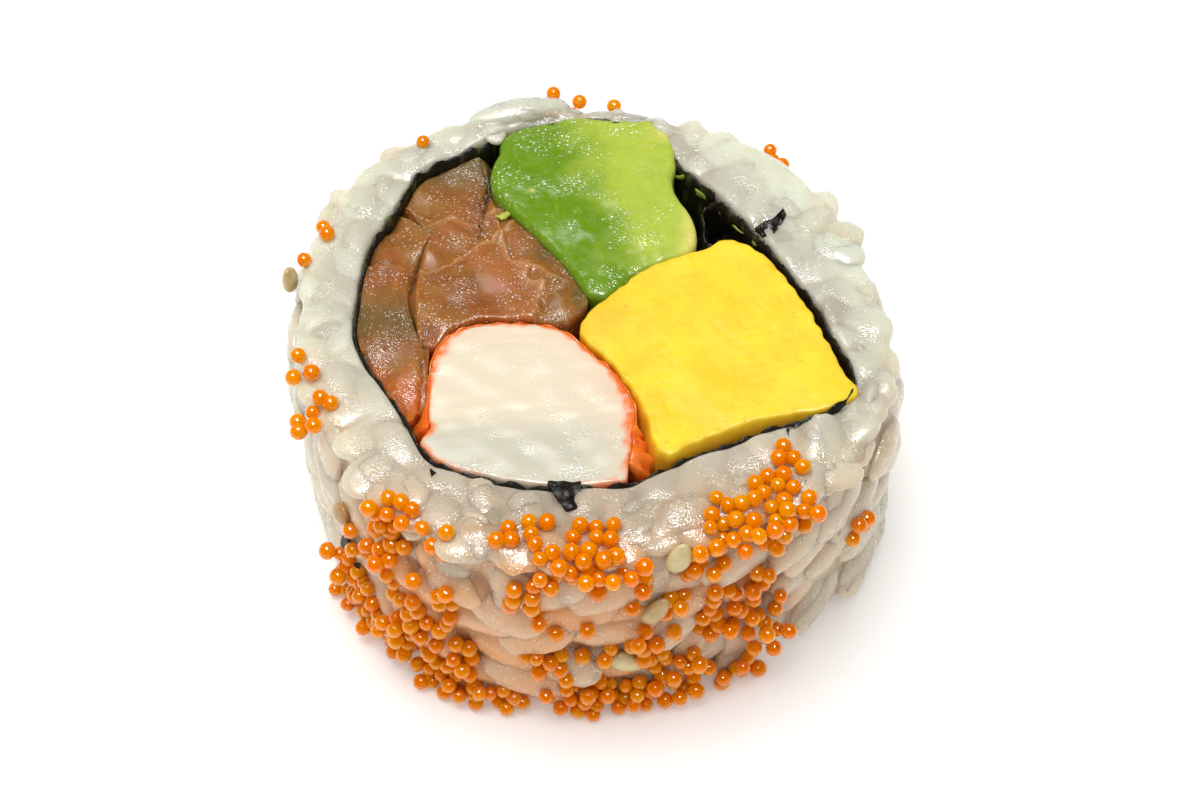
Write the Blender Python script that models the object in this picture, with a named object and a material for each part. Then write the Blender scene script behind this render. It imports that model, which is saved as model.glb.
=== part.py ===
"""Slice of an inside-out sushi roll, standing on one cut face.

A ring of rice with roe and sesame seeds on its side, a sheet of nori inside it, and five fillings that
run from the lower cut face to the upper one. Units are metres, +Z is up, and the origin is the middle
of the face that the slice stands on. Angles are degrees round the roll from +X towards +Y.
"""

import math
import random

import bmesh
import bpy
import numpy as np
from mathutils import Matrix, Vector
from mathutils.bvhtree import BVHTree
from mathutils.geometry import delaunay_2d_cdt

MM = 0.001

# The roll
HEIGHT = 19.5 * MM  # from one cut face to the other
CORE_RADIUS = 23.7 * MM  # rice body under the grains, which stand about 1.3 mm proud
CORE_WAVES = ((2, 0.55, 87), (3, 0.52, -12), (4, 0.53, 133), (5, 0.34, 151))  # number, size in mm, phase
RIM_ROUND = 0.9 * MM

# Edge of the hole in the rice: angle, and radius in mm
HOLE_EDGE = (
    (-172, 18.6), (-155, 17.7), (-143, 17.7), (-130, 18.8), (-113, 18.1), (-95, 17.5), (-78, 17.2),
    (-63, 16.5), (-50, 17.2), (-40, 18.4), (-32, 20.6), (-25, 22.0), (-17, 21.6), (-8, 19.6), (2, 18.3),
    (13, 17.0), (24, 16.4), (42, 16.4), (56, 17.3), (65, 18.3), (72, 20.6), (90, 21.6), (105, 21.4),
    (120, 21.0), (134, 21.0), (143, 19.8), (158, 19.2), (175, 18.5),
)

# Thicknesses and gaps
GAP = 0.3 * MM
NORI_THICK = 0.4 * MM
CRAB_SKIN_THICK = 0.5 * MM
OUTLINE_STEP = 1.1 * MM  # spacing of points round the fillings

# Seams between the fillings on the cut face, in mm, each from the middle of the roll outwards
FISH_AVOCADO = ((0.3, 1.0), (-0.9, 3.4), (-2.4, 5.9), (-4.6, 8.7), (-6.7, 11.4), (-8.1, 13.4), (-8.3, 15.6), (-7.6, 18.2))
AVOCADO_EGG = ((0.5, 0.7), (2.3, 1.8), (3.4, 3.5), (5.4, 4.8), (7.6, 5.8), (8.6, 6.2))
CRAB_EGG = ((-0.8, -2.5), (0.4, -3.9), (1.6, -5.1), (2.8, -7.0), (3.9, -9.0), (4.3, -10.4))
FISH_CRAB = ((-2.0, -1.3), (-4.4, -1.0), (-8.6, -1.0), (-11.2, -2.1), (-12.4, -4.8), (-12.5, -9.0), (-12.4, -11.6))
AVOCADO_FREE_SIDE = ((9.0, 7.4), (9.0, 8.8), (8.6, 10.6), (7.5, 12.6), (7.0, 14.0), (7.2, 15.8))
CRAB_FREE_SIDE = ((3.8, -11.6), (3.5, -12.8), (3.8, -14.9))
EGG_LEFT_CORNER = ((-0.5, -1.6), (0.3, -0.2))
EGG_TOP_CORNER = ((9.9, 6.6), (10.6, 7.6), (11.5, 7.8), (12.9, 7.1))
EGG_FRONT_CORNER = ((8.2, -13.2), (6.3, -13.6), (5.4, -12.4))
GROOVE_LUMP_SIDE = ((-12.9, 13.6), (-12.6, 9.6), (-13.3, 6.4), (-13.6, 3.0), (-13.5, -1.0), (-12.9, -4.0))
GROOVE_STRIP_SIDE = ((-14.0, 11.8), (-14.0, 9.0), (-14.8, 6.6), (-15.1, 3.0), (-15.0, -1.0), (-14.1, -4.2), (-13.2, -7.0))

# Angles between which each filling reaches the ring of nori
AVOCADO_ARC = (68, 110)
FISH_LUMP_ARC = (113, 133)
FISH_STRIP_ARC = (141, 221)
CRAB_ARC = (-133, -78)
EGG_ARC = (-58, 20)

# Nori: where its ring starts, how far it goes round, and its free end folded into the space between
# avocado, egg and rice, in mm
NORI_START = 68
NORI_TURN = 340
NORI_FOLD = ((10.0, 12.6), (9.5, 12.0), (9.8, 11.0), (9.7, 9.6), (10.3, 8.7), (10.9, 9.2), (10.8, 10.4))
FOLD_DROP = 3.0 * MM

# Grains, roe and seeds
GRAIN_HALF = (3.2 * MM, 1.45 * MM, 1.15 * MM)
GRAIN_ROWS = 6
GRAINS_A_ROW = 20
RIM_GRAINS = 21
FACE_GRAINS = 12
ROE_RADIUS = 0.68 * MM
ROE_SPACING = 1.5 * MM
SEED_HALF = (1.5 * MM, 0.85 * MM, 0.45 * MM)

# Roe on the side: angle, height in mm, half spread along and up in mm, number of beads
ROE_CLUSTERS = (
    (-139, 2.8, 4.0, 1.7, 5), (-124, 3.6, 3.2, 2.0, 4), (-120, 9.0, 1.4, 3.2, 3),
    (-126, 15.6, 2.6, 2.8, 4), (-102, 9.6, 1.6, 1.8, 1), (-111, 1.6, 2.6, 1.2, 2),
    (-94, 17.4, 2.8, 1.7, 3), (-88, 2.0, 3.6, 1.2, 3), (-91, 11.4, 2.2, 1.6, 1),
    (-76, 8.6, 2.4, 4.8, 3), (-63, 17.2, 3.4, 2.0, 4), (-60, 7.2, 1.6, 3.2, 2),
    (-35, 12.0, 1.2, 0.8, 1), (-152, 17.4, 1.2, 2.0, 1),
)
SEED_PLACES = ((-139, 14.0, 70), (-74, 17.6, 80), (-78, 12.6, 60), (-82, 6.2, -35), (155, 12.0, 20))
OTHER_SIDE = 180  # the side away from the front repeats the roe and seeds, turned by this and scattered anew


def clear_scene():
    for obj in list(bpy.data.objects):
        bpy.data.objects.remove(obj)


def food_material(name, colour, roughness):
    """A plain finish: colour and roughness of one food."""
    made = bpy.data.materials.new(name)
    made.use_nodes = True
    shader = made.node_tree.nodes["Principled BSDF"]
    shader.inputs["Base Color"].default_value = (*colour, 1.0)
    shader.inputs["Roughness"].default_value = roughness
    shader.inputs["Metallic"].default_value = 0.0
    return made


def solid_from(name, points, faces, material):
    """One object from its points and faces, faces turned outwards."""
    mesh = bpy.data.meshes.new(name)
    mesh.from_pydata([tuple(p) for p in points], [], [tuple(f) for f in faces])
    shape = bmesh.new()
    shape.from_mesh(mesh)
    bmesh.ops.remove_doubles(shape, verts=shape.verts, dist=1e-7)
    bmesh.ops.recalc_face_normals(shape, faces=shape.faces)
    shape.to_mesh(mesh)
    shape.free()
    obj = bpy.data.objects.new(name, mesh)
    obj.data.materials.append(material)
    bpy.context.scene.collection.objects.link(obj)
    return obj


# Lines on the cut face

def smooth_line(points, steps=4):
    """A Catmull-Rom curve through open points given in mm, as an array in metres."""
    p = np.array(points, float) * MM
    p = np.vstack([2 * p[0] - p[1], p, 2 * p[-1] - p[-2]])
    line = []
    for a, b, c, d in zip(p, p[1:], p[2:], p[3:]):
        for t in np.arange(steps) / steps:
            line.append(0.5 * (2 * b + (c - a) * t + (2 * a - 5 * b + 4 * c - d) * t**2 + (3 * b - 3 * c + d - a) * t**3))
    return np.array([*line, p[-2]])


def hole_radius(angle):
    """Radius of the rice's inner edge at an angle, by a smooth curve round the whole table."""
    known = [(a + 360 * turn, r) for turn in (-1, 0, 1) for a, r in HOLE_EDGE]
    angle = (angle + 180) % 360 - 180
    i = max(k for k, (a, _) in enumerate(known) if a <= angle)
    (a0, r0), (a1, r1), (a2, r2), (a3, r3) = known[i - 1:i + 3]
    t = (angle - a1) / (a2 - a1)
    slope1 = (r2 - r0) / (a2 - a0) * (a2 - a1)
    slope2 = (r3 - r1) / (a3 - a1) * (a2 - a1)
    t2, t3 = t * t, t * t * t
    return MM * ((2 * t3 - 3 * t2 + 1) * r1 + (t3 - 2 * t2 + t) * slope1 + (3 * t2 - 2 * t3) * r2 + (t3 - t2) * slope2)


def moved_sideways(line, distance, closed=False):
    """The line moved to its left by a distance, along its normals."""
    if closed:
        run = np.roll(line, -1, axis=0) - np.roll(line, 1, axis=0)
    else:
        run = np.gradient(line, axis=0)
    run /= np.linalg.norm(run, axis=1)[:, None]
    return line + distance * np.stack([-run[:, 1], run[:, 0]], axis=1)


def hole_line(inwards, start=-180.0, end=180.0, step=3.0):
    """The hole's edge from one angle to another, moved inwards. The whole turn is a closed line."""
    whole = end - start >= 360
    count = max(2, round((end - start) / step))
    angles = np.linspace(start, end, count, endpoint=False) if whole else np.linspace(start, end, count + 1)
    radii = np.array([hole_radius(a) for a in angles])
    line = np.stack([radii * np.cos(np.radians(angles)), radii * np.sin(np.radians(angles))], axis=1)
    return moved_sideways(line, inwards, closed=whole)


def evenly_spaced(line, spacing):
    """Points at even steps along an open line, both ends kept."""
    lengths = np.linalg.norm(np.diff(line, axis=0), axis=1)
    along = np.concatenate([[0], np.cumsum(lengths)])
    count = max(2, round(along[-1] / spacing) + 1)
    at = np.linspace(0, along[-1], count)
    return np.column_stack([np.interp(at, along, line[:, k]) for k in (0, 1)])


def joined_outline(*pieces, inset=GAP / 2):
    """A closed outline from lines end to end, run anticlockwise, its corners eased, and moved inwards."""
    points = np.vstack(pieces)
    outline = evenly_spaced(np.vstack([points, points[:1]]), OUTLINE_STEP)[:-1]
    x, y = outline.T
    if (x * np.roll(y, -1) - np.roll(x, -1) * y).sum() < 0:
        outline = outline[::-1]
    outline = 0.5 * outline + 0.25 * (np.roll(outline, 1, axis=0) + np.roll(outline, -1, axis=0))
    return inset_outline(outline, inset)


def inset_outline(outline, distance):
    """The outline moved inwards, without the points that would fold over at tight corners."""
    moved = moved_sideways(outline, distance, closed=True)
    return moved[distance_to_outline(moved, outline) > 0.9 * distance]


def distance_to_outline(points, outline):
    """How far each point lies from a closed outline."""
    start, end = outline, np.roll(outline, -1, axis=0)
    run = end - start
    offset = points[:, None, :] - start[None]
    share = np.clip((offset * run).sum(2) / (run * run).sum(1), 0, 1)
    return np.linalg.norm(offset - share[..., None] * run, axis=2).min(1)


# Fillings

def filling(name, outline, material, lift, fall=(0.0, 0.0), ripple=0.0, grid=2.2 * MM, edge_round=0.5 * MM):
    """A filling that runs through the roll: straight sides on the outline, and a gently rounded upper face.

    lift is the upper face's height over the rice's cut face, fall its slope along X and Y, and ripple the
    depth of soft waves across it.
    """
    low, high = outline.min(0), outline.max(0)
    xs = np.arange(low[0], high[0], grid)
    ys = np.arange(low[1], high[1], grid)
    inside = np.array([(x, y) for i, y in enumerate(ys) for x in xs + (i % 2) * grid / 2])
    inside = inside[distance_to_outline(inside, outline) > 0.55 * grid]
    count = len(outline)
    points = [Vector(p) for p in outline] + [Vector(p) for p in inside]
    rim = [(i, (i + 1) % count) for i in range(count)]
    flat, _, triangles, *_ = delaunay_2d_cdt(points, rim, [list(range(count))], 1, 1e-7)
    flat = np.array([tuple(p) for p in flat])
    depth = distance_to_outline(flat, outline)
    centre = outline.mean(0)
    rise = 1 - np.exp(-depth / (2.5 * edge_round))
    top = HEIGHT + lift - edge_round * (1 - rise)
    top += (flat - centre) @ np.array(fall)
    top += ripple * np.sin(flat[:, 0] / (1.9 * MM) + 1.3) * np.cos(flat[:, 1] / (1.6 * MM)) * rise
    upper = np.column_stack([flat, top])
    lower = np.column_stack([flat, np.zeros(len(flat))])
    total = len(flat)
    faces = [tuple(t) for t in triangles]
    faces += [tuple(total + i for i in reversed(t)) for t in triangles]
    faces += [(a, b, total + b, total + a) for a, b in rim_edges(triangles)]
    return solid_from(name, np.vstack([upper, lower]), faces, material)


def rim_edges(triangles):
    """Edges that only one triangle has, which are those round the outside."""
    seen = {}
    for t in triangles:
        for a, b in zip(t, t[1:] + t[:1]):
            seen[frozenset((a, b))] = None if frozenset((a, b)) in seen else (a, b)
    return [edge for edge in seen.values() if edge]


def band(name, line, thickness, bottom, tops, material):
    """An upright band of even thickness along an open line, with its own height at each point."""
    outer = moved_sideways(line, -thickness / 2)
    inner = moved_sideways(line, thickness / 2)
    count = len(line)
    points = [(*p, bottom) for side in (outer, inner) for p in side]
    points += [(*p, z) for side in (outer, inner) for p, z in zip(side, tops)]
    out_low, in_low, out_high, in_high = (count * k for k in range(4))
    faces = []
    for i in range(count - 1):
        j = i + 1
        faces += [
            (out_low + i, out_low + j, out_high + j, out_high + i),
            (in_low + j, in_low + i, in_high + i, in_high + j),
            (out_high + i, out_high + j, in_high + j, in_high + i),
            (out_low + j, out_low + i, in_low + i, in_low + j),
        ]
    for i in (0, count - 1):
        faces.append((out_low + i, out_high + i, in_high + i, in_low + i))
    return solid_from(name, points, faces, material)


def ring_arc(start, end):
    """The line that the fillings' outer sides follow: the nori's inner face, half a gap inwards."""
    return hole_line(1.5 * GAP + NORI_THICK, start, end)


def make_nori(material):
    """The sheet that lines the rice, from the avocado's right side all the way round to its folded end."""
    ring = hole_line(GAP + NORI_THICK / 2, NORI_START, NORI_START + NORI_TURN, step=5.0)
    fold = smooth_line(NORI_FOLD, steps=3)
    rims = [HEIGHT + 0.1 * MM] * len(ring)
    rims += [HEIGHT - FOLD_DROP * min(1, 3 * k / len(fold)) for k in range(len(fold))]
    band("nori", np.vstack([ring, fold]), NORI_THICK, GAP, rims, material)


def make_avocado(material):
    outline = joined_outline(
        smooth_line(AVOCADO_EGG), smooth_line(AVOCADO_FREE_SIDE), ring_arc(*AVOCADO_ARC),
        smooth_line(FISH_AVOCADO)[::-1],
    )
    filling("avocado", outline, material, lift=0.6 * MM, ripple=0.12 * MM)


def make_fish(material):
    """A folded lump and the strip outside it, with a groove between them."""
    lump = joined_outline(
        smooth_line(FISH_AVOCADO), ring_arc(*FISH_LUMP_ARC), smooth_line(GROOVE_LUMP_SIDE),
        smooth_line(FISH_CRAB[:5])[::-1],
    )
    strip = joined_outline(
        ring_arc(*FISH_STRIP_ARC), smooth_line(FISH_CRAB[5:])[::-1], smooth_line(GROOVE_STRIP_SIDE)[::-1]
    )
    filling("fish_folded", lump, material, lift=-0.3 * MM, fall=(0.03, -0.15), ripple=0.4 * MM, grid=1.9 * MM)
    filling("fish_strip", strip, material, lift=-0.9 * MM, fall=(0.0, 0.07), ripple=0.2 * MM, grid=1.9 * MM)


def make_crab(white, red):
    """The white stick, and the red layer over its back and sides. Its front is bare."""
    covered = np.vstack([smooth_line(CRAB_FREE_SIDE)[::-1], smooth_line(CRAB_EGG)[::-1], smooth_line(FISH_CRAB)])
    covered = evenly_spaced(covered, OUTLINE_STEP)
    covered[1:-1] = 0.5 * covered[1:-1] + 0.25 * (covered[:-2] + covered[2:])
    skin = moved_sideways(covered, (GAP + CRAB_SKIN_THICK) / 2)
    band("crab_skin", skin, CRAB_SKIN_THICK, GAP, [HEIGHT] * len(skin), red)
    under_skin = moved_sideways(covered, CRAB_SKIN_THICK + GAP)
    outline = joined_outline(under_skin, ring_arc(*CRAB_ARC))
    filling("crab_stick", outline, white, lift=0.2 * MM, ripple=0.08 * MM)


def make_egg(material):
    outline = joined_outline(
        ring_arc(*EGG_ARC), smooth_line(EGG_TOP_CORNER)[::-1], smooth_line(AVOCADO_EGG)[::-1],
        smooth_line(EGG_LEFT_CORNER)[::-1], smooth_line(CRAB_EGG), smooth_line(EGG_FRONT_CORNER)[::-1],
    )
    filling("egg", outline, material, lift=0.3 * MM, ripple=0.08 * MM)


# Rice

def core_radius(angle):
    """Radius of the rice body at an angle: a round with a few slow waves."""
    turn = math.radians(angle)
    waves = (size * MM * math.cos(n * turn + math.radians(phase)) for n, size, phase in CORE_WAVES)
    return CORE_RADIUS + sum(waves)


def upright_frame(angle, radius, height, lean):
    """Axes for a piece on the side: its length along the wall, turned by lean from level, thickness outwards."""
    turn = math.radians(angle)
    out = Vector((math.cos(turn), math.sin(turn), 0))
    along = Vector((-math.sin(turn), math.cos(turn), 0))
    lean = math.radians(lean)
    length = along * math.cos(lean) + Vector((0, 0, math.sin(lean)))
    width = out.cross(length)
    place = out * radius + Vector((0, 0, height))
    return Matrix.LocRotScale(place, Matrix((length, width, out)).transposed().to_quaternion(), None)


def flat_frame(angle, radius, height, turn):
    """Axes for a piece that lies on the cut face, its length turned from the roll's tangent."""
    at = math.radians(angle)
    spin = math.radians(angle + 90 + turn)
    place = Vector((radius * math.cos(at), radius * math.sin(at), height))
    return Matrix.LocRotScale(place, Matrix.Rotation(spin, 3, "Z").to_quaternion(), None)


def lozenge(half, sides=5, belly=0.62, girth=1.0):
    """A grain with few faces: two rings of points and a point at each end."""
    a, b, c = half
    points = [(-a, 0, 0)]
    for x in (-belly * a, belly * a):
        for k in range(sides):
            turn = 2 * math.pi * (k + 0.25) / sides
            points.append((x, girth * b * math.cos(turn), girth * c * math.sin(turn)))
    points.append((a, 0, 0))
    last = len(points) - 1
    faces = []
    for k in range(sides):
        j = (k + 1) % sides
        faces += [(0, 1 + j, 1 + k), (1 + k, 1 + j, 1 + sides + j, 1 + sides + k), (last, 1 + sides + k, 1 + sides + j)]
    return points, faces


def bead(radius):
    """A round egg of roe as twenty triangles."""
    shape = bmesh.new()
    bmesh.ops.create_icosphere(shape, subdivisions=1, radius=radius)
    points = [tuple(v.co) for v in shape.verts]
    faces = [tuple(v.index for v in f.verts) for f in shape.faces]
    shape.free()
    return points, faces


def placed(shape, frame):
    points, faces = shape
    return [frame @ Vector(p) for p in points], faces


def grain_pieces(rng):
    """Grains on the side in staggered rows, round the rim, and lying in the cut face."""
    pieces = []
    for row in range(GRAIN_ROWS):
        height = (row + 0.55) * HEIGHT / GRAIN_ROWS
        for k in range(GRAINS_A_ROW):
            angle = 360 * (k + 0.5 * (row % 2)) / GRAINS_A_ROW + rng.uniform(-3, 3)
            lean = rng.gauss(0, 26)
            size = [h * rng.uniform(0.86, 1.12) for h in GRAIN_HALF]
            radius = core_radius(angle) + rng.uniform(-0.15, 0.25) * MM
            frame = upright_frame(angle, radius, height + rng.uniform(-0.5, 0.5) * MM, lean)
            pieces.append(placed(lozenge(size), frame))
    for k in range(RIM_GRAINS):
        angle = 360 * k / RIM_GRAINS + rng.uniform(-3, 3)
        size = [h * rng.uniform(0.85, 1.1) for h in GRAIN_HALF]
        radius = core_radius(angle) - rng.uniform(0.0, 0.5) * MM
        frame = flat_frame(angle, radius, HEIGHT - rng.uniform(0.75, 0.95) * MM, rng.gauss(0, 22))
        pieces.append(placed(lozenge(size), frame))
    for k in range(FACE_GRAINS):
        angle = 360 * (k + 0.5) / FACE_GRAINS + rng.uniform(-4, 4)
        size = [h * rng.uniform(0.8, 1.0) for h in GRAIN_HALF]
        radius = 0.5 * (core_radius(angle) + hole_radius(angle))
        frame = flat_frame(angle, radius, HEIGHT - rng.uniform(0.8, 0.95) * MM, rng.gauss(0, 30))
        pieces.append(placed(lozenge(size), frame))
    return pieces


def surface_of(pieces):
    """The rice body and its grains as one tree to drop small things onto."""
    points, faces = [], []
    for piece_points, piece_faces in pieces:
        start = len(points)
        points += piece_points
        faces += [tuple(start + i for i in f) for f in piece_faces]
    return BVHTree.FromPolygons(points, faces)


def side_radius(tree, angle, height):
    """Radius at which a line from outside, level and towards the middle, first meets the rice."""
    turn = math.radians(angle)
    out = Vector((math.cos(turn), math.sin(turn), 0))
    hit, *_ = tree.ray_cast(out * 2 * CORE_RADIUS + Vector((0, 0, height)), -out)
    return math.hypot(hit.x, hit.y) if hit else None


def small_things(tree, rng):
    """Roe in clusters and a few sesame seeds, sunk a little into the rice where they lie."""
    pieces, centres = [], []
    clusters = list(ROE_CLUSTERS)
    clusters += [(a + OTHER_SIDE + rng.uniform(-9, 9), h, u, v, n) for a, h, u, v, n in ROE_CLUSTERS]
    for angle0, height0, along, up, wanted in clusters:
        made = 0
        for _ in range(12 * wanted):
            if made == wanted:
                break
            angle = angle0 + math.degrees(rng.uniform(-1, 1) * along * MM / CORE_RADIUS)
            height = (height0 + rng.uniform(-1, 1) * up) * MM
            height = min(max(height, 0.9 * MM), HEIGHT - 0.3 * MM)
            radius = side_radius(tree, angle, height)
            if radius is None:
                continue
            size = ROE_RADIUS * rng.uniform(0.92, 1.08)
            centre = Vector((0, 0, height)) + Matrix.Rotation(math.radians(angle), 3, "Z") @ Vector(
                (radius + 0.25 * size, 0, 0)
            )
            if all((centre - other).length > ROE_SPACING for other in centres):
                centres.append(centre)
                pieces.append(placed(bead(size), Matrix.Translation(centre)))
                made += 1
    seeds = list(SEED_PLACES) + [(a + OTHER_SIDE + rng.uniform(-12, 12), h, lean) for a, h, lean in SEED_PLACES]
    for angle, height, lean in seeds:
        radius = side_radius(tree, angle, height * MM)
        if radius:
            frame = upright_frame(angle, radius + 0.1 * MM, height * MM, lean)
            pieces.append(placed(lozenge(SEED_HALF), frame))
    return pieces


def rice_body():
    """A full disc of rice with a rounded rim, taller below than the slice, which is cut level later."""
    segments = 60
    levels = (
        (-1.5 * MM, 0.5 * MM), (HEIGHT * 0.3, 0.0), (HEIGHT * 0.7, 0.0),
        (HEIGHT - RIM_ROUND, 0.15 * MM), (HEIGHT - 0.25 * MM, RIM_ROUND),
    )
    points, faces = [], []
    for z, inset in levels:
        for k in range(segments):
            angle = 360 * k / segments
            r = core_radius(angle) - inset
            points.append(Vector((r * math.cos(math.radians(angle)), r * math.sin(math.radians(angle)), z)))
    for level in range(len(levels) - 1):
        for k in range(segments):
            j = (k + 1) % segments
            a, b = level * segments, (level + 1) * segments
            faces.append((a + k, a + j, b + j, b + k))
    faces.append(tuple(reversed(range(segments))))
    faces.append(tuple(range((len(levels) - 1) * segments, len(levels) * segments)))
    return points, faces


def joined_by_boolean(body, others, operation):
    """Applies one Boolean of the body with a collection of objects, and removes those objects."""
    group = bpy.data.collections.new(body.name + "_" + operation.lower())
    bpy.context.scene.collection.children.link(group)
    for obj in others:
        bpy.context.scene.collection.objects.unlink(obj)
        group.objects.link(obj)
    step = body.modifiers.new(operation.title(), "BOOLEAN")
    step.operation = operation
    step.operand_type = "COLLECTION"
    step.collection = group
    step.solver = "MANIFOLD"
    graph = bpy.context.evaluated_depsgraph_get()
    result = bpy.data.meshes.new_from_object(body.evaluated_get(graph))
    body.modifiers.clear()
    old = body.data
    body.data = result
    bpy.data.meshes.remove(old)
    for obj in list(group.objects):
        bpy.data.objects.remove(obj)
    bpy.data.collections.remove(group)


def keep_largest_shell(body):
    """Drops loose scraps and fills sealed hollows, by keeping only the shell with the most faces."""
    shape = bmesh.new()
    shape.from_mesh(body.data)
    left = set(shape.faces)
    shells = []
    while left:
        front = [left.pop()]
        shell = list(front)
        while front:
            face = front.pop()
            for edge in face.edges:
                for other in edge.link_faces:
                    if other in left:
                        left.discard(other)
                        shell.append(other)
                        front.append(other)
        shells.append(shell)
    shells.sort(key=len, reverse=True)
    loose = [f for shell in shells[1:] for f in shell]
    bmesh.ops.delete(shape, geom=loose, context="FACES")
    shape.to_mesh(body.data)
    shape.free()


def hole_cutter(material):
    """A prism of the hole in the rice, longer than the slice at both ends."""
    line = hole_line(0.0, step=3.0)
    count = len(line)
    points = [(*p, z) for z in (-4 * MM, HEIGHT + 4 * MM) for p in line]
    faces = [(i, (i + 1) % count, count + (i + 1) % count, count + i) for i in range(count)]
    faces += [tuple(reversed(range(count))), tuple(range(count, 2 * count))]
    return solid_from("hole_cutter", points, faces, material)


def floor_cutter(material):
    """A block whose upper face is the plane that the slice stands on."""
    shape = bmesh.new()
    bmesh.ops.create_cube(shape, size=80 * MM, matrix=Matrix.Translation((0, 0, -40 * MM)))
    points = [tuple(v.co) for v in shape.verts]
    faces = [tuple(v.index for v in f.verts) for f in shape.faces]
    shape.free()
    return solid_from("floor_cutter", points, faces, material)


def make_rice(material):
    """Rice body, grains, roe and seeds fused to one solid, then bored for the fillings and cut level."""
    rng = random.Random(7)
    body = rice_body()
    grains = grain_pieces(rng)
    small = small_things(surface_of([body, *grains]), rng)
    rice = solid_from("rice", *body, material)
    fused = [solid_from(f"piece_{i}", *piece, material) for i, piece in enumerate(grains + small)]
    joined_by_boolean(rice, fused, "UNION")
    joined_by_boolean(rice, [hole_cutter(material), floor_cutter(material)], "DIFFERENCE")
    keep_largest_shell(rice)
    return rice


def main():
    clear_scene()
    rice = food_material("rice", (0.80, 0.78, 0.70), 0.35)
    nori = food_material("nori", (0.012, 0.014, 0.010), 0.45)
    avocado = food_material("avocado", (0.42, 0.62, 0.12), 0.40)
    fish = food_material("fish", (0.55, 0.26, 0.15), 0.35)
    crab_white = food_material("crab_white", (0.85, 0.80, 0.70), 0.40)
    crab_red = food_material("crab_red", (0.85, 0.14, 0.02), 0.40)
    egg = food_material("egg", (0.95, 0.72, 0.08), 0.55)
    make_rice(rice)
    make_nori(nori)
    make_avocado(avocado)
    make_fish(fish)
    make_crab(crab_white, crab_red)
    make_egg(egg)


main()
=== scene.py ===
import math

import bpy
import numpy as np
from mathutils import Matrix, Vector


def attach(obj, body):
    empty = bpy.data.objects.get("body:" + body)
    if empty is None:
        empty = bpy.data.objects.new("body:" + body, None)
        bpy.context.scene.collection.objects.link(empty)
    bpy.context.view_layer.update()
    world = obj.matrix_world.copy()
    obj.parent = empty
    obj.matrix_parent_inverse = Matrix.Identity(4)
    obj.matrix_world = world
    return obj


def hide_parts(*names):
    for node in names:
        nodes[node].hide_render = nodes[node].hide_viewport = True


# Slice of an inside-out sushi roll on a white table. Lengths are in mm until a mesh is made, Z is up, and
# angles are degrees round the roll from +X towards +Y.

mm = 0.001
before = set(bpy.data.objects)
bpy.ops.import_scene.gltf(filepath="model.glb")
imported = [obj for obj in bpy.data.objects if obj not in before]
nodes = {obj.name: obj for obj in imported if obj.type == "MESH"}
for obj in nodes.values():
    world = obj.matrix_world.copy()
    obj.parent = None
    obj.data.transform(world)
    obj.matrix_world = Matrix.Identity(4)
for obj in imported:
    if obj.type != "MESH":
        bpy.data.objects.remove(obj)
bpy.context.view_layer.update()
rollHeight = 19.5
outerRadius = 24.9  # of the rice with its grains
noriGap = 0.34  # from the edge of the hole in the rice to what lies against the nori


# Camera, table and light

cameraPlan = {"aim": (0.97, 6.62, 0.0), "distance": 177.9, "elevation": 51.43, "lens": 60.0}
lightPlan = {
    "world": 0.76,  # plain white all round, not mirrored in wet surfaces
    "softPower": 0.95, "softSize": 0.26, "softPlace": (-0.07, 0.05, 0.38),
    "glintPower": 3.4, "glintSize": 0.17, "glintPlace": (0.0, -0.05, 0.42),  # seen in wet surfaces alone
    "table": (0.93, 0.93, 0.925), "tableGlow": 0.13,
}


def makeCamera(plan):
    # stands back from the aim along the line of sight, level, with no shift
    lean = math.radians(plan["elevation"])
    away = Vector((0, -math.cos(lean), math.sin(lean))) * plan["distance"]
    data = bpy.data.cameras.new("camera")
    data.lens = plan["lens"]
    data.sensor_width = 36
    data.clip_start = 0.005
    data.clip_end = 10
    camera = bpy.data.objects.new("camera", data)
    camera.location = (Vector(plan["aim"]) + away) * mm
    camera.rotation_euler = (math.radians(90 - plan["elevation"]), 0, 0)
    bpy.context.scene.collection.objects.link(camera)
    bpy.context.scene.camera = camera


def makeLamp(name, place, size, power, colour, onlyGloss=False):
    # a square lamp that faces the middle of the roll
    data = bpy.data.lights.new(name, "AREA")
    data.size = size
    data.energy = power
    data.color = colour
    lamp = bpy.data.objects.new(name, data)
    lamp.location = place
    toRoll = Vector((0, 0, 0.01)) - Vector(place)
    lamp.rotation_euler = toRoll.to_track_quat("-Z", "Y").to_euler()
    lamp.visible_diffuse = not onlyGloss
    bpy.context.scene.collection.objects.link(lamp)


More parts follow.
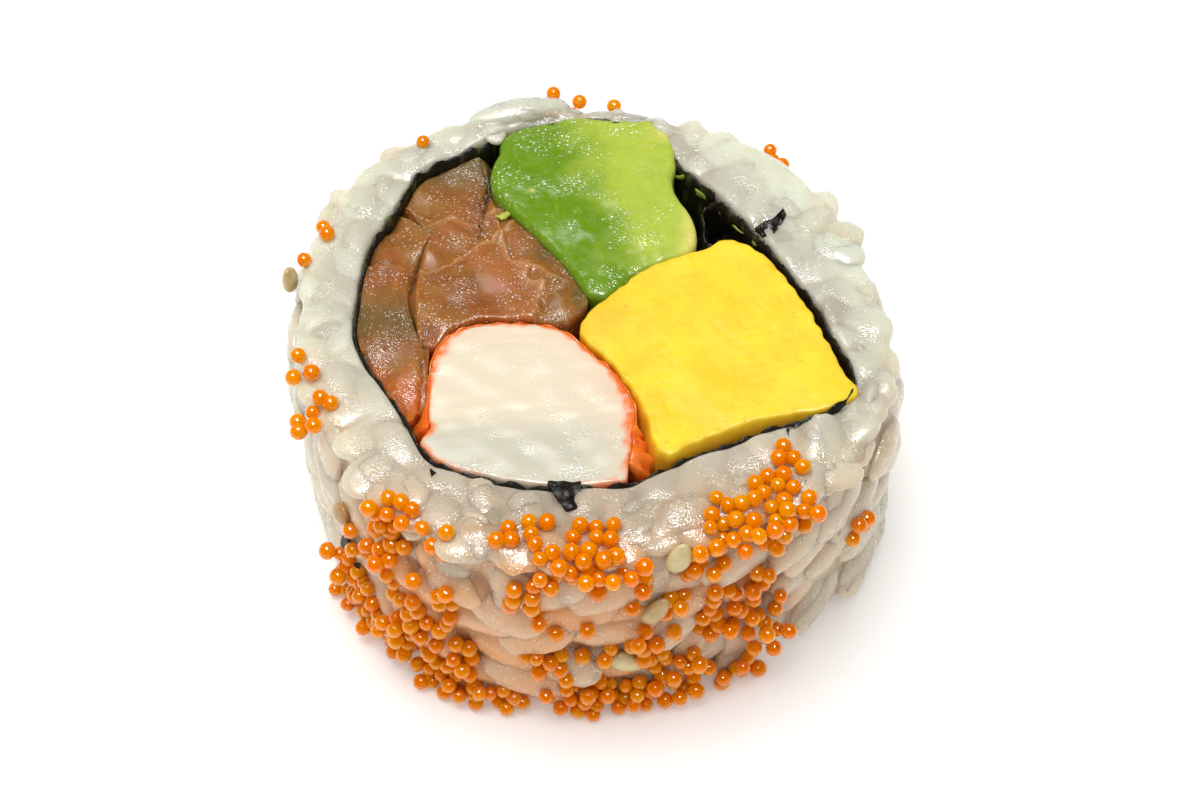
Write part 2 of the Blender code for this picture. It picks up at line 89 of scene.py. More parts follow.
def makeStage(plan):
    # an even white room, a soft lamp, a lamp for highlights, and a flat table that glows a little
    world = bpy.data.worlds.new("whiteRoom")
    bpy.context.scene.world = world
    world.use_nodes = True
    sky = world.node_tree.nodes["Background"]
    sky.inputs["Color"].default_value = (1.0, 1.0, 1.0, 1)
    sky.inputs["Strength"].default_value = plan["world"]
    world.cycles_visibility.glossy = False
    makeLamp("softLamp", plan["softPlace"], plan["softSize"], plan["softPower"], (1.0, 0.985, 0.96))
    makeLamp("glintLamp", plan["glintPlace"], plan["glintSize"], plan["glintPower"], (1.0, 0.99, 0.97), True)
    flat = bpy.data.meshes.new("table")
    flat.from_pydata([(-3, -3, 0), (3, -3, 0), (3, 3, 0), (-3, 3, 0)], [], [(0, 1, 2, 3)])
    paper = bpy.data.materials.new("tablePaper")
    paper.use_nodes = True
    shader = paper.node_tree.nodes["Principled BSDF"]
    shader.inputs["Base Color"].default_value = (*plan["table"], 1)
    shader.inputs["Roughness"].default_value = 0.75
    shader.inputs["Emission Color"].default_value = (1, 1, 1, 1)
    shader.inputs["Emission Strength"].default_value = plan["tableGlow"]
    flat.materials.append(paper)
    table = bpy.data.objects.new("table", flat)
    bpy.context.scene.collection.objects.link(table)
    bpy.context.scene.view_settings.view_transform = "Standard"


makeCamera(cameraPlan)
makeStage(lightPlan)
print("camera, table and light made")


# Small tools for shapes

def unit(vectors):
    # the same directions, each with a length of one
    return vectors / np.linalg.norm(vectors, axis=-1, keepdims=True)


def compass(angle):
    # cosine and sine of an angle in degrees
    return np.cos(np.radians(angle)), np.sin(np.radians(angle))


def waves(points, size, count, seed):
    # soft unevenness: a sum of sine waves of about one length in random directions, mostly within -1 to 1
    rng = np.random.default_rng(seed)
    way = unit(rng.normal(size=(count, points.shape[-1])))
    way *= 2 * np.pi / (size * rng.uniform(0.7, 1.4, count))[:, None]
    phase = rng.uniform(0, 2 * np.pi, count)
    return np.sin(points @ way.T + phase).sum(-1) / math.sqrt(count)


def wobble(points, size, count, seeds):
    # soft unevenness of its own along each axis
    return np.stack([waves(points, size, count, seed) for seed in seeds], -1)


def ease(x, low, high):
    # 0 below low, 1 above high, and a smooth step between
    t = np.clip((x - low) / (high - low), 0, 1)
    return t * t * (3 - 2 * t)


def hump(x, middle, width):
    # a bell curve, 1 at its middle
    return np.exp(-((x - middle) / width) ** 2)


def bearing(x, y):
    # the angle of a point round the middle, in degrees from +X
    return np.degrees(np.arctan2(y, x))


def halfTurn(angle):
    # the same angle within -180 to 180
    return (angle + 180) % 360 - 180


def cubic(t, width, low, high, lowSlope, highSlope):
    # the smooth curve between two values with a slope at each
    return ((2 * t**3 - 3 * t**2 + 1) * low + (t**3 - 2 * t**2 + t) * lowSlope * width
            + (3 * t**2 - 2 * t**3) * high + (t**3 - t**2) * highSlope * width)


def roundTable(angles, table):
    # a smooth curve round the whole turn through (angle, value) pairs: a cubic between neighbours
    a, v = np.array(sorted(table), float).T
    a = np.concatenate([a - 360, a, a + 360])
    slope = np.gradient(np.tile(v, 3), a)
    v = np.tile(v, 3)
    x = halfTurn(np.asarray(angles, float))
    i = np.searchsorted(a, x, side="right") - 1
    width = a[i + 1] - a[i]
    return cubic((x - a[i]) / width, width, v[i], v[i + 1], slope[i], slope[i + 1])


def wayWalked(path):
    # how far along the path each of its points lies
    return np.concatenate([[0], np.cumsum(np.linalg.norm(np.diff(path, axis=0), axis=1))])


def curveThrough(points, spacing):
    # a smooth line through points: a cubic along the way walked, then even steps along it
    p = np.array(points, float)
    way = wayWalked(p)
    slope = np.gradient(p, way, axis=0)
    x = np.linspace(0, way[-1], max(2, int(way[-1] / spacing) + 1))
    i = np.clip(np.searchsorted(way, x, side="right") - 1, 0, len(way) - 2)
    width = (way[i + 1] - way[i])[:, None]
    return cubic((x - way[i])[:, None] / width, width, p[i], p[i + 1], slope[i], slope[i + 1])


def walkedAlong(path):
    # how far along the path each point lies, and the unit direction to the left of it
    run = unit(np.gradient(path, axis=0))
    return wayWalked(path), np.stack([-run[:, 1], run[:, 0]], 1)


def smoothed(values, reach):
    # the mean of each value and its neighbours up to reach places away
    count = 2 * reach + 1
    return np.convolve(np.pad(values, reach, mode="edge"), np.ones(count) / count, "valid")


def gapsTo(points, start, end):
    # from the nearest place on each piece of a line, from start to end, to each point
    run = end - start
    offset = points[:, None, :] - start[None]
    share = np.clip((offset * run).sum(2) / (run * run).sum(1), 0, 1)
    return offset - share[..., None] * run


def gridFaces(rows, columns, wrapRows=False, wrapColumns=False):
    # the four corners of each cell of a grid of points that are kept row by row
    i = np.arange(rows if wrapRows else rows - 1)
    j = np.arange(columns if wrapColumns else columns - 1)
    i, j = np.meshgrid(i, j, indexing="ij")
    down, right = (i + 1) % rows, (j + 1) % columns
    corners = [i * columns + j, i * columns + right, down * columns + right, down * columns + j]
    return np.stack(corners, -1).reshape(-1, 4)


def loopFaces(count, columns):
    # a closed loop of points carried along columns, with a flat face at each end
    first = np.arange(count) * columns
    return [gridFaces(count, columns, wrapRows=True), first[None], (first + columns - 1)[None, ::-1]]


def makePiece(name, points, faceSets, material, node, tones):
    # points in mm, and faces as arrays of corner numbers, put into one smooth mesh that rides on the roll
    mesh = bpy.data.meshes.new(name)
    mesh.vertices.add(len(points))
    mesh.vertices.foreach_set("co", (np.asarray(points) * mm).astype(np.float32).ravel())
    corners = np.concatenate([f.ravel() for f in faceSets])
    sides = np.concatenate([np.full(len(f), f.shape[1]) for f in faceSets])
    mesh.loops.add(len(corners))
    mesh.loops.foreach_set("vertex_index", corners.astype(np.int32))
    mesh.polygons.add(len(sides))
    mesh.polygons.foreach_set("loop_start", np.concatenate([[0], np.cumsum(sides)[:-1]]).astype(np.int32))
    mesh.polygons.foreach_set("use_smooth", np.ones(len(sides), bool))
    mesh.update(calc_edges=True)
    for toneName, values in tones.items():
        layer = mesh.attributes.new(toneName, "FLOAT", "POINT")
        layer.data.foreach_set("value", np.asarray(values, np.float32).ravel())
    mesh.materials.append(material)
    piece = bpy.data.objects.new(name, mesh)
    bpy.context.scene.collection.objects.link(piece)
    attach(piece, "root")
    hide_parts(node)


def copiesOf(shape, faceSets, places, axes, sizes, bends=None):
    # each copy is the small shape stretched by its sizes, bent by bend * length squared, turned onto its
    # three axes and put in its place
    local = shape[None] * sizes[:, None, :]
    if bends is not None:
        local[..., 2] -= bends[:, None] * local[..., 0] ** 2
    points = np.einsum("nji,nkj->nki", axes, local) + places[:, None, :]
    shift = (np.arange(len(places)) * len(shape))[:, None, None]
    return points.reshape(-1, 3), [(f[None] + shift).reshape(-1, f.shape[1]) for f in faceSets]


def roundedShape(around, rings, girth):
    # a closed body along X from -1 to 1: circles whose radius is girth(x), with a point at each end
    x = -np.cos(np.linspace(0, np.pi, rings + 2)[1:-1])
    turn = 2 * np.pi * np.arange(around) / around
    r = girth(x)[:, None]
    ring = np.stack([x[:, None] + 0 * turn, r * np.cos(turn), r * np.sin(turn)], -1).reshape(-1, 3)
    points = np.concatenate([ring, [(-1, 0, 0), (1, 0, 0)]])
    quads = gridFaces(rings, around, wrapColumns=True)
    k = np.arange(around)
    first = np.stack([k, (k + 1) % around, np.full(around, len(ring))], 1)
    last = np.stack([(k + 1) % around, k, np.full(around, len(ring) + 1)], 1)
    last[:, :2] += (rings - 1) * around
    return points, [quads, np.concatenate([first[:, ::-1], last[:, ::-1]])]


# Small tools for materials

def newMaterial(name):
    # a material with its node tree and its shader
    made = bpy.data.materials.new(name)
    made.use_nodes = True
    return made, made.node_tree, made.node_tree.nodes["Principled BSDF"]


def addNode(tree, kind, **settings):
    # a new node with its settings
    made = tree.nodes.new(kind)
    for key, value in settings.items():
        setattr(made, key, value)
    return made


def join(tree, value, socket):
    # puts a plain value on a socket, or links another node's output to it
    if isinstance(value, bpy.types.NodeSocket):
        tree.links.new(value, socket)
    elif isinstance(value, tuple) and len(value) == 3 and socket.type == "RGBA":
        socket.default_value = (*value, 1)
    else:
        socket.default_value = value


def noise(tree, size, detail=3.0, roughness=0.55, stretch=(1, 1, 1)):
    # cloudy pattern on the piece's own coordinates, its lumps about size mm across
    place = addNode(tree, "ShaderNodeTexCoord")
    mapping = addNode(tree, "ShaderNodeMapping")
    mapping.inputs["Scale"].default_value = stretch
    texture = addNode(tree, "ShaderNodeTexNoise")
    texture.inputs["Scale"].default_value = 1 / (size * mm)
    texture.inputs["Detail"].default_value = detail
    texture.inputs["Roughness"].default_value = roughness
    tree.links.new(place.outputs["Object"], mapping.inputs["Vector"])
    tree.links.new(mapping.outputs["Vector"], texture.inputs["Vector"])
    return texture.outputs["Fac"]


def cells(tree, size):
    # pattern of rounded cells, 0 in the middle of each
    place = addNode(tree, "ShaderNodeTexCoord")
    texture = addNode(tree, "ShaderNodeTexVoronoi")
    texture.inputs["Scale"].default_value = 1 / (size * mm)
    tree.links.new(place.outputs["Object"], texture.inputs["Vector"])
    return texture.outputs["Distance"]


def remap(tree, source, low, high, toLow=0.0, toHigh=1.0):
    # spreads a pattern between low and high over a new range
    node = addNode(tree, "ShaderNodeMapRange")
    for name, value in (("From Min", low), ("From Max", high), ("To Min", toLow), ("To Max", toHigh)):
        node.inputs[name].default_value = value
    tree.links.new(source, node.inputs["Value"])
    return node.outputs["Result"]


def sums(tree, operation, first, second):
    # one step of arithmetic, kept within 0 to 1
    node = addNode(tree, "ShaderNodeMath", operation=operation, use_clamp=True)
    join(tree, first, node.inputs[0])
    join(tree, second, node.inputs[1])
    return node.outputs[0]


def tone(tree, name):
    # reads one of the piece's own point values
    return addNode(tree, "ShaderNodeAttribute", attribute_name=name).outputs["Fac"]


def mixed(tree, share, first, second):
    # the first colour where share is 0, the second where it is 1
    node = addNode(tree, "ShaderNodeMix", data_type="RGBA")
    sockets = [s for s in node.inputs if s.enabled]
    for socket, value in zip(sockets, (share, first, second)):
        join(tree, value, socket)
    return next(s for s in node.outputs if s.enabled)


def tinted(tree, colour, name, target, share=None):
    # goes from the colour to the target by one of the piece's tones, or by a share of it
    amount = tone(tree, name) if share is None else sums(tree, "MULTIPLY", tone(tree, name), share)
    return mixed(tree, amount, colour, target)


def cloud(tree, size, detail, low, high, toLow=0.0, toHigh=1.0):
    # a cloudy pattern of lumps size mm across, spread over a range
    return remap(tree, noise(tree, size, detail=detail), low, high, toLow, toHigh)


def bumps(tree, shader, layers):
    # stacks bump patterns, each a height pattern, its depth in mm and, where it comes and goes, its share
    below = None
    for source, depth, *share in layers:
        node = addNode(tree, "ShaderNodeBump")
        node.inputs["Distance"].default_value = depth * mm
        for value in share:
            tree.links.new(value, node.inputs["Strength"])
        tree.links.new(source, node.inputs["Height"])
        if below:
            tree.links.new(below, node.inputs["Normal"])
        below = node.outputs["Normal"]
    tree.links.new(below, shader.inputs["Normal"])
    tree.links.new(below, shader.inputs["Coat Normal"])


def withPaintedGlints(tree, colour, size, patches, share):
    # painted highlights: small pale dots in patches, as light on a wet surface leaves
    dots = sums(tree, "MULTIPLY", remap(tree, cells(tree, size), 0.12, 0.27, share, 0.0), patches)
    return mixed(tree, dots, colour, (0.95, 0.93, 0.88))


def wetFood(tree, shader, colour, roughness, soak, soakColour, soakDepth, coat, coatRoughness):
    # light that soaks in by soakDepth mm, and a wet film over it
    join(tree, colour, shader.inputs["Base Color"])
    join(tree, roughness, shader.inputs["Roughness"])
    shader.inputs["Subsurface Weight"].default_value = soak
    shader.inputs["Subsurface Radius"].default_value = soakColour
    shader.inputs["Subsurface Scale"].default_value = soakDepth * mm
    shader.inputs["Coat Weight"].default_value = coat
    shader.inputs["Coat Roughness"].default_value = coatRoughness
    shader.inputs["IOR"].default_value = 1.34


# Rice

roeShape = {
    "radius": 0.65, "spacing": 0.94, "sink": 0.38, "stack": 0.28, "spread": 0.88, "seed": 5,
    "ring": 25,  # mm from the middle, for spreads along the side
    "more": 1.4, "moreBelow": 0.5,  # beads for each one of the list, and how many more low down
    "highest": 21.1, "yRange": (-26.3, 25.7),  # no bead reaches past these
    "clear": 1.3, "clearSpot": (-139, 10.4),  # how far the beads stay off the seeds and off that spot
    # angle, way up the side and in over the rim in mm, half spread along and up in mm, number
    "clusters": (
        (-165, 21.9, 1.2, 0.8, 2), (-154, 21.3, 1.5, 1.6, 4), (-142, 1.6, 3.2, 1.4, 5),
        (-139, 6.2, 2.8, 1.4, 6), (-136, 13.3, 1.5, 2.4, 3), (-131, 1.4, 2.6, 1.4, 6),
        (-128, 4.1, 2.9, 2.4, 9), (-128, 14.0, 2.0, 1.9, 5), (-126, 20.4, 1.9, 0.8, 5),
        (-125, 16.9, 1.9, 1.7, 5), (-123, 8.8, 1.4, 2.4, 4), (-118, 1.2, 2.4, 1.6, 6),
        (-118, 10.2, 2.1, 1.9, 5), (-118, 19.4, 2.0, 1.2, 3), (-116, 14.0, 2.5, 1.3, 4),
        (-115, 5.2, 2.5, 2.4, 7), (-108, 1.8, 2.9, 1.3, 6), (-102, 17.0, 1.6, 2.2, 4),
        (-101, 22.4, 2.6, 1.6, 5), (-96, 7.2, 2.5, 2.0, 4), (-96, 13.0, 3.4, 2.1, 3),
        (-93, 19.8, 2.4, 1.8, 9), (-91, 2.2, 3.2, 1.8, 9), (-88, 22.0, 2.4, 1.6, 7),
        (-84, 18.0, 2.6, 1.9, 7), (-82, 7.4, 2.6, 2.2, 5), (-81, 1.8, 2.4, 1.5, 6),
        (-77, 11.8, 2.6, 2.4, 6), (-74, 3.4, 2.0, 2.8, 8), (-69, 18.9, 1.8, 2.2, 8),
        (-64, 8.8, 2.6, 1.9, 7), (-64, 22.4, 1.6, 1.2, 5), (-63, 1.6, 2.4, 1.3, 6),
        (-62, 13.3, 2.6, 2.1, 7), (-59, 21.4, 1.8, 1.6, 8), (-56, 6.7, 1.8, 3.0, 6),
        (-53, 18.4, 2.2, 1.8, 8), (-52, 21.5, 1.8, 1.8, 9), (-46, 23.0, 1.3, 1.4, 5),
        (-35, 11.6, 1.4, 0.6, 3), (166, 20.9, 0.6, 0.5, 1), (158, 21.3, 0.8, 0.6, 2),
        (128, 21.4, 0.5, 0.5, 1),
    ),
    # the hidden side repeats the clusters lower than farTop, turned by farSide, with a share of the beads
    "farSide": 178, "farShare": 0.85, "farTop": 18.3, "low": 10, "tries": 14,
}
riceShape = {
    "radius": 23.65,
    "radiusWaves": ((2, 0.55, 87), (3, 0.52, -12), (4, 0.53, 133), (5, 0.34, 151)),  # number, mm, phase
    "holeEdge": (
        (-172, 18.6), (-155, 17.7), (-143, 17.7), (-130, 18.8), (-113, 18.1), (-95, 17.5), (-78, 17.2),
        (-63, 16.5), (-50, 17.2), (-40, 18.4), (-32, 20.6), (-25, 22.0), (-17, 21.6), (-8, 19.6), (2, 18.3),
        (13, 17.0), (24, 16.4), (42, 16.4), (56, 17.3), (65, 18.3), (72, 20.6), (90, 21.6), (105, 21.4),
        (120, 21.0), (134, 21.0), (143, 19.8), (158, 19.2), (175, 18.5),
    ),
    "rim": 1.2, "innerLip": 0.3,
    "around": 600, "sideRows": 62, "rimRows": 8, "topRows": 24, "lipRows": 4,
    "sideGrains": (6, 29), "sideTop": 17.2, "rimGrains": 54, "hanging": 0.40, "topGrains": 150,
    "grain": (3.7, 1.75, 0.85),  # half length, half width and half thickness
    "narrow": 4.2,  # a ring narrower than this has its rim grains along it
    "cutApart": 1.4, "cutInset": (0.7, 0.8),  # between cut grains, and from them to the hole and the rim
    "topSizes": ((2.0, 3.6), (1.3, 2.1), (0.5, 0.7)),  # the same for the cut ones, smallest and largest
    "fused": 0.22,  # how far the single grains stand out of the mass that holds them
    "seed": 11,
    # single grains that catch the eye: angle, distance from the middle, height, lean, half sizes
    "marked": (
        (105, 23.5, 19.8, 2, (4.6, 1.5, 1.0)), (-70.5, 21.6, 19.3, 20, (2.6, 1.9, 0.9)),
        (-38, 22.6, 19.4, 40, (3.4, 1.7, 0.8)), (-112, 23.4, 18.6, 75, (2.7, 1.5, 0.8)),
        (-93, 23.8, 17.0, 80, (2.2, 1.6, 0.8)),
    ),
}
riceColours = {
    # warm also colours the painted orange glow round the roe
    "pale": (0.67, 0.69, 0.55), "warm": (0.75, 0.35, 0.14), "grey": (0.42, 0.40, 0.34),
    # deep is the colour of the painted shade in the crevices between grains
    "tan": (0.41, 0.30, 0.19), "deep": (0.48, 0.20, 0.06), "dim": (0.45, 0.37, 0.27),
    # rim is the colour of the painted light along the grains' edges
    "rim": (0.81, 0.68, 0.50), "soak": 0.8, "grainSoak": 0.3, "soakDepth": 2.8,
}


def coreRadius(angle):
    # a round with a few slow waves
    turn = np.radians(angle)
    waved = sum(size * np.cos(n * turn + math.radians(phase)) for n, size, phase in riceShape["radiusWaves"])
    return riceShape["radius"] + waved


def holeRadius(angle):
    # how far the edge of the hole is from the middle
    return roundTable(angle, riceShape["holeEdge"])


def riceProfile(shape):
    # the rice without grains, row by row: up the side, over the rim, in across the cut face and round the
    # edge of the hole. Each row has its points and the way that grains lift them.
    angle = np.arange(shape["around"]) * 360 / shape["around"] - 180
    core, hole = coreRadius(angle)[None], holeRadius(angle)[None]
    rim, lip = shape["rim"], shape["innerLip"]
    zero = np.zeros((1, shape["around"]))
    z = np.linspace(0, rollHeight - rim, shape["sideRows"])[:, None]
    bend = np.linspace(0, np.pi / 2, shape["rimRows"] + 2)[1:-1, None]
    across = np.linspace(0, 1, shape["topRows"])[:, None]
    turn = np.linspace(0, np.pi / 2, shape["lipRows"] + 1)[1:, None]
    radius = [core + 0 * z, core - rim * (1 - np.cos(bend)),
              (core - rim) * (1 - across) + (hole + lip) * across, hole + lip * (1 - np.sin(turn))]
    height = [z + zero, rollHeight - rim * (1 - np.sin(bend)) + zero, rollHeight + 0 * across + zero,
              rollHeight - lip * (1 - np.cos(turn)) + zero]
    outward = [1 + 0 * z + zero, np.cos(bend) + zero, 0 * across + zero, -np.sin(turn) + zero]
    upward = [0 * z + zero, np.sin(bend) + zero, 1 + 0 * across + zero, np.cos(turn) + zero]
    radius, height, outward, upward = (np.concatenate(part) for part in (radius, height, outward, upward))
    c, s = compass(angle)
    points = np.stack([radius * c, radius * s, height], -1)
    lift = np.stack([outward * c, outward * s, upward], -1)
    return angle, points, lift


def grainFrames(places, out, lean):
    # axes of grains that lie on a surface: length is the level direction turned by lean, then width and out
    level = np.cross((0, 0, 1.0), out)
    flat = np.linalg.norm(level, axis=1) < 1e-6
    level[flat] = np.stack([-places[flat, 1], places[flat, 0], 0 * places[flat, 0]], 1)
    level = unit(level)
    slope = np.cross(out, level)
    lean = np.radians(lean)[:, None]
    length = level * np.cos(lean) + slope * np.sin(lean)
    return np.stack([length, np.cross(out, length), out], 1)


def roundAbout(angle, radius, z):
    # points at a bearing, a distance from the roll's middle and a height
    c, s = compass(angle)
    return np.stack([radius * c, radius * s, z + 0 * c], 1)


def tipped(angle, tip):
    # a direction that points away from the middle and up by tip degrees
    return roundAbout(angle, *compass(tip))


def sideGrainPlaces(shape, rng):
    # staggered rows like roof tiles: each grain is tipped so that its lower edge stands out
    a, b, c = shape["grain"]
    rows, columns = shape["sideGrains"]
    row, column = (g.ravel() for g in np.meshgrid(np.arange(rows), np.arange(columns), indexing="ij"))
    count = len(row)
    angle = 360 * (column + 0.5 * (row % 2)) / columns + rng.uniform(-4, 4, count) - 180
    z = shape["sideTop"] * (row + 0.45) / rows + rng.uniform(-0.8, 0.8, count)
    field = waves(np.stack([angle / 3, z], 1), 14, 6, 12)
    lean = 38 * hump(angle, -58, 24) - 26 * hump(angle, -128, 26) + 20 * field + rng.normal(0, 9, count)
    size = np.array([a, b, c]) * rng.uniform(0.82, 1.12, (count, 3))
    reach = size[:, 0] * np.abs(np.sin(np.radians(lean))) + size[:, 1] * np.cos(np.radians(lean))
    z = np.maximum(z, reach * 0.9 + 0.05)
    rise = rng.uniform(-0.10, 0.45, count) + 0.35 * ease(z, 12, 18)
    places = roundAbout(angle, coreRadius(angle) + rise, z)
    out = tipped(angle, rng.uniform(6, 26, count))
    return places, grainFrames(places, out, lean), size, np.full(count, 0.02)


def rimGrainPlaces(shape, rng):
    # one row round the upper edge: most lie outwards with their ends over the edge, the others hang down it,
    # bent round it
    a, b, c = shape["grain"]
    count = shape["rimGrains"]
    angle = 360 * np.arange(count) / count + rng.uniform(-3, 3, count) - 180
    hangs = rng.random(count) < shape["hanging"] + 0.4 * hump(angle, -95, 60)
    size = np.array([0.88 * a, b, 0.95 * c]) * rng.uniform(0.8, 1.1, (count, 3))
    room = coreRadius(angle) - holeRadius(angle)
    narrow = ~hangs & (room < shape["narrow"])
    size[:, 0] = np.where(hangs | narrow, size[:, 0], np.minimum(0.8 * size[:, 0], 0.5 * room))
    size[:, 1] = np.where(narrow, np.minimum(0.8 * size[:, 1], 0.42 * room), size[:, 1])
    lean = np.where(hangs, rng.normal(85, 18, count), rng.normal(90, 24, count)) - 80 * narrow
    tip = np.where(hangs, rng.uniform(4, 18, count), rng.uniform(64, 82, count))
    out = tipped(angle, tip)
    tip = np.radians(tip)
    hangDepth = size[:, 0] * np.cos(tip) + size[:, 2] * np.sin(tip) + rng.uniform(-0.15, 0.15, count)
    level = rollHeight - np.where(hangs, hangDepth, size[:, 2] - rng.uniform(0.05, 0.30, count))
    inward = np.where(narrow, size[:, 1] + 0.25, size[:, 0])
    over = np.where(hangs, rng.uniform(-0.1, 0.4, count), rng.uniform(0.1, 0.8, count) - inward)
    places = roundAbout(angle, coreRadius(angle) - 0.5 * np.sin(tip) * hangs + over, level)
    return places, grainFrames(places, out, lean), size, np.where(hangs, 0.06, 0.04)


def topGrainPlaces(shape, rng):
    # cut grains pressed into the cut face: flat, of many sizes, no two in one place
    spots = []
    fromHole, fromRim = shape["cutInset"]
    while len(spots) < shape["topGrains"]:
        angle = rng.uniform(-180, 180)
        inner = holeRadius(angle) + fromHole
        outer = max(coreRadius(angle) - fromRim, inner + 0.2)
        r = math.sqrt(rng.uniform(inner**2, outer**2))
        spot = (r * math.cos(math.radians(angle)), r * math.sin(math.radians(angle)))
        if all((spot[0] - s[0]) ** 2 + (spot[1] - s[1]) ** 2 > shape["cutApart"] ** 2 for s in spots):
            spots.append(spot)
    count = len(spots)
    places = np.column_stack([np.array(spots), rollHeight + rng.uniform(-0.52, -0.12, count)])
    size = np.stack([rng.uniform(*span, count) for span in shape["topSizes"]], 1)
    out = unit(np.tile((0.0, 0.0, 1.0), (count, 1)) + rng.normal(0, 0.10, (count, 3)) * (1, 1, 0))
    turn = bearing(places[:, 0], places[:, 1])
    room = coreRadius(turn) - holeRadius(turn)
    size[:, 0] = np.minimum(size[:, 0], 0.42 * room + 0.5)
    return places, grainFrames(places, out, rng.uniform(0, 180, count)), size, np.zeros(count)


def markedGrainPlaces(shape):
    # the listed grains: the higher one lies, the flatter it is on the cut face
    angle, radius, z, lean = (np.array(v, float) for v in zip(*[m[:4] for m in shape["marked"]]))
    places = roundAbout(angle, radius, 0) + np.stack([0 * z, 0 * z, z], 1)
    out = tipped(angle, np.where(z > 19.5, 80, np.where(z > 19.2, 62, 30)))
    size = np.array([m[4] for m in shape["marked"]])
    return places, grainFrames(places, out, lean), size, np.full(len(z), 0.04)


def reachOfGrains(points, lift, grains, rng):
    # how far out each ray from the plain form meets a grain: with p and d the ray's start and direction in
    # half sizes of the grain, |p + t d| = 1 gives t. A grain is tried only on the columns that it can reach.
    places, axes, sizes, _ = grains
    rows, columns = points.shape[:2]
    innermost, missed, furthest = 17, -9, 2.5
    reach = -0.20 + 0.07 * waves(points, 3.0, 16, 3)
    shade = np.full((rows, columns), 0.5)
    column = (bearing(places[:, 0], places[:, 1]) + 180) / 360 * columns
    own = rng.random(len(places))
    for g in range(len(places)):
        wide = int(columns * (1.1 * sizes[g, 0] + 0.3) / (2 * np.pi * innermost)) + 1
        c = (int(column[g]) + np.arange(-wide, wide + 1)) % columns
        p = (points[:, c] - places[g]) @ axes[g].T / sizes[g]
        d = lift[:, c] @ axes[g].T / sizes[g]
        pd, dd, pp = (p * d).sum(-1), (d * d).sum(-1), (p * p).sum(-1)
        root = pd**2 - dd * (pp - 1)
        t = np.where(root > 0, (np.sqrt(np.maximum(root, 0)) - pd) / dd, missed)
        hit = (t > reach[:, c]) & (t < furthest)
        reach[:, c] = np.where(hit, t, reach[:, c])
        shade[:, c] = np.where(hit, own[g], shade[:, c])
    return reach, shade, own


def blurred(values, times):
    # averages each point with its neighbours along and across, again and again
    for _ in range(times):
        values = 0.5 * values + 0.25 * (np.roll(values, 1, 1) + np.roll(values, -1, 1))
        up, down = np.concatenate([values[:1], values[:-1]]), np.concatenate([values[1:], values[-1:]])
        values = 0.5 * values + 0.25 * (up + down)
    return values


def riceTones(points, shade, paintedCreviceShade, rim):
    # where the rice is warm (the front and the back), with a painted orange glow round the roe, tan
    # (the front of the cut face) and grey (beside the hole)
    angle = bearing(points[..., 0], points[..., 1])
    r = np.hypot(points[..., 0], points[..., 1])
    front = hump(angle, -98, 56)
    below = 1 - ease(points[..., 2] - 0.8 * (r - 23), rollHeight - 2.5, rollHeight)
    back = 0.5 * hump(angle, 85, 70) * below
    inward = r - holeRadius(angle)
    onTop = ease(points[..., 2], rollHeight - 2.0, rollHeight - 0.6)
    way = np.where(points[..., 2] < rollHeight - 0.8, points[..., 2], rollHeight + outerRadius - r)
    # painted light: orange glow on the rice round the roe clusters, as light comes through the beads
    glow = 0
    for middle, up, along, high, count in roeShape["clusters"]:
        apart = halfTurn(angle - middle)
        sideways = np.radians(apart) * 24 / (along + 1)
        glow = glow + 0.12 * count * np.exp(-sideways**2 - ((way - up) / (high + 1)) ** 2)
    warmthAndRoeGlow = 0.12 * below + back + front * (0.36 + 0.2 * below) + 0.5 * np.minimum(glow, 1)
    tan = hump(angle, -92, 42) * onTop * (1 - 0.6 * ease(inward, 3.5, 6.0))
    tan = tan + 0.35 * hump(angle, -20, 45) * below
    cool = onTop * (1 - ease(inward, 0.8, 5.0)) * (0.62 + 0.38 * hump(angle, 5, 60))
    tints = {"warmthAndRoeGlow": warmthAndRoeGlow, "tan": tan, "cool": cool}
    tints = {name: np.clip(values, 0, 1) for name, values in tints.items()}
    return {"shade": shade, "paintedCreviceShade": paintedCreviceShade, "rim": rim, **tints}


def makeRiceMaterial(name, soak):
    # pale, with the tones mixed in one after another; light soaks deep into the mass and less into grains
    material, tree, shader = newMaterial(name)
    cloudy = noise(tree, 3.0, detail=2)
    ownShade = sums(tree, "MULTIPLY", tone(tree, "shade"), 0.6)
    shade = sums(tree, "ADD", ownShade, sums(tree, "MULTIPLY", cloudy, 0.4))
    warming = remap(tree, shade, 0.2, 0.8, 0.55, 1.2)
    # warm tone, together with the painted orange glow round the roe
    colour = tinted(tree, riceColours["pale"], "warmthAndRoeGlow", riceColours["warm"], warming)
    colour = tinted(tree, colour, "tan", riceColours["tan"], remap(tree, shade, 0.2, 0.8, 1.0, 0.6))
    colour = tinted(tree, colour, "cool", riceColours["grey"], remap(tree, shade, 0.3, 0.7, 1.0, 0.55))
    colour = mixed(tree, remap(tree, tone(tree, "shade"), 0.0, 0.6, 0.35, 0.0), colour, riceColours["dim"])
    # painted light along the edges of the single grains
    colour = tinted(tree, colour, "rim", riceColours["rim"], 0.45)
    # painted shade in the crevices between grains
    colour = tinted(tree, colour, "paintedCreviceShade", riceColours["deep"])
    # painted glints in patches on the rice
    patches = cloud(tree, 2.0, 1, 0.47, 0.60)
    colour = withPaintedGlints(tree, colour, 0.36, patches, 0.8)
    rough = cloud(tree, 0.8, 4, 0.3, 0.7, 0.18, 0.40)
    strength = remap(tree, patches, 0.0, 1.0, 0.4, 1.0)
    bumps(tree, shader, ((noise(tree, 1.0, detail=1), 0.05), (noise(tree, 0.15, detail=0), 0.07, strength)))
    wetFood(tree, shader, colour, rough, soak, (1.0, 0.92, 0.80), riceColours["soakDepth"], 0.35, 0.08)
    return material


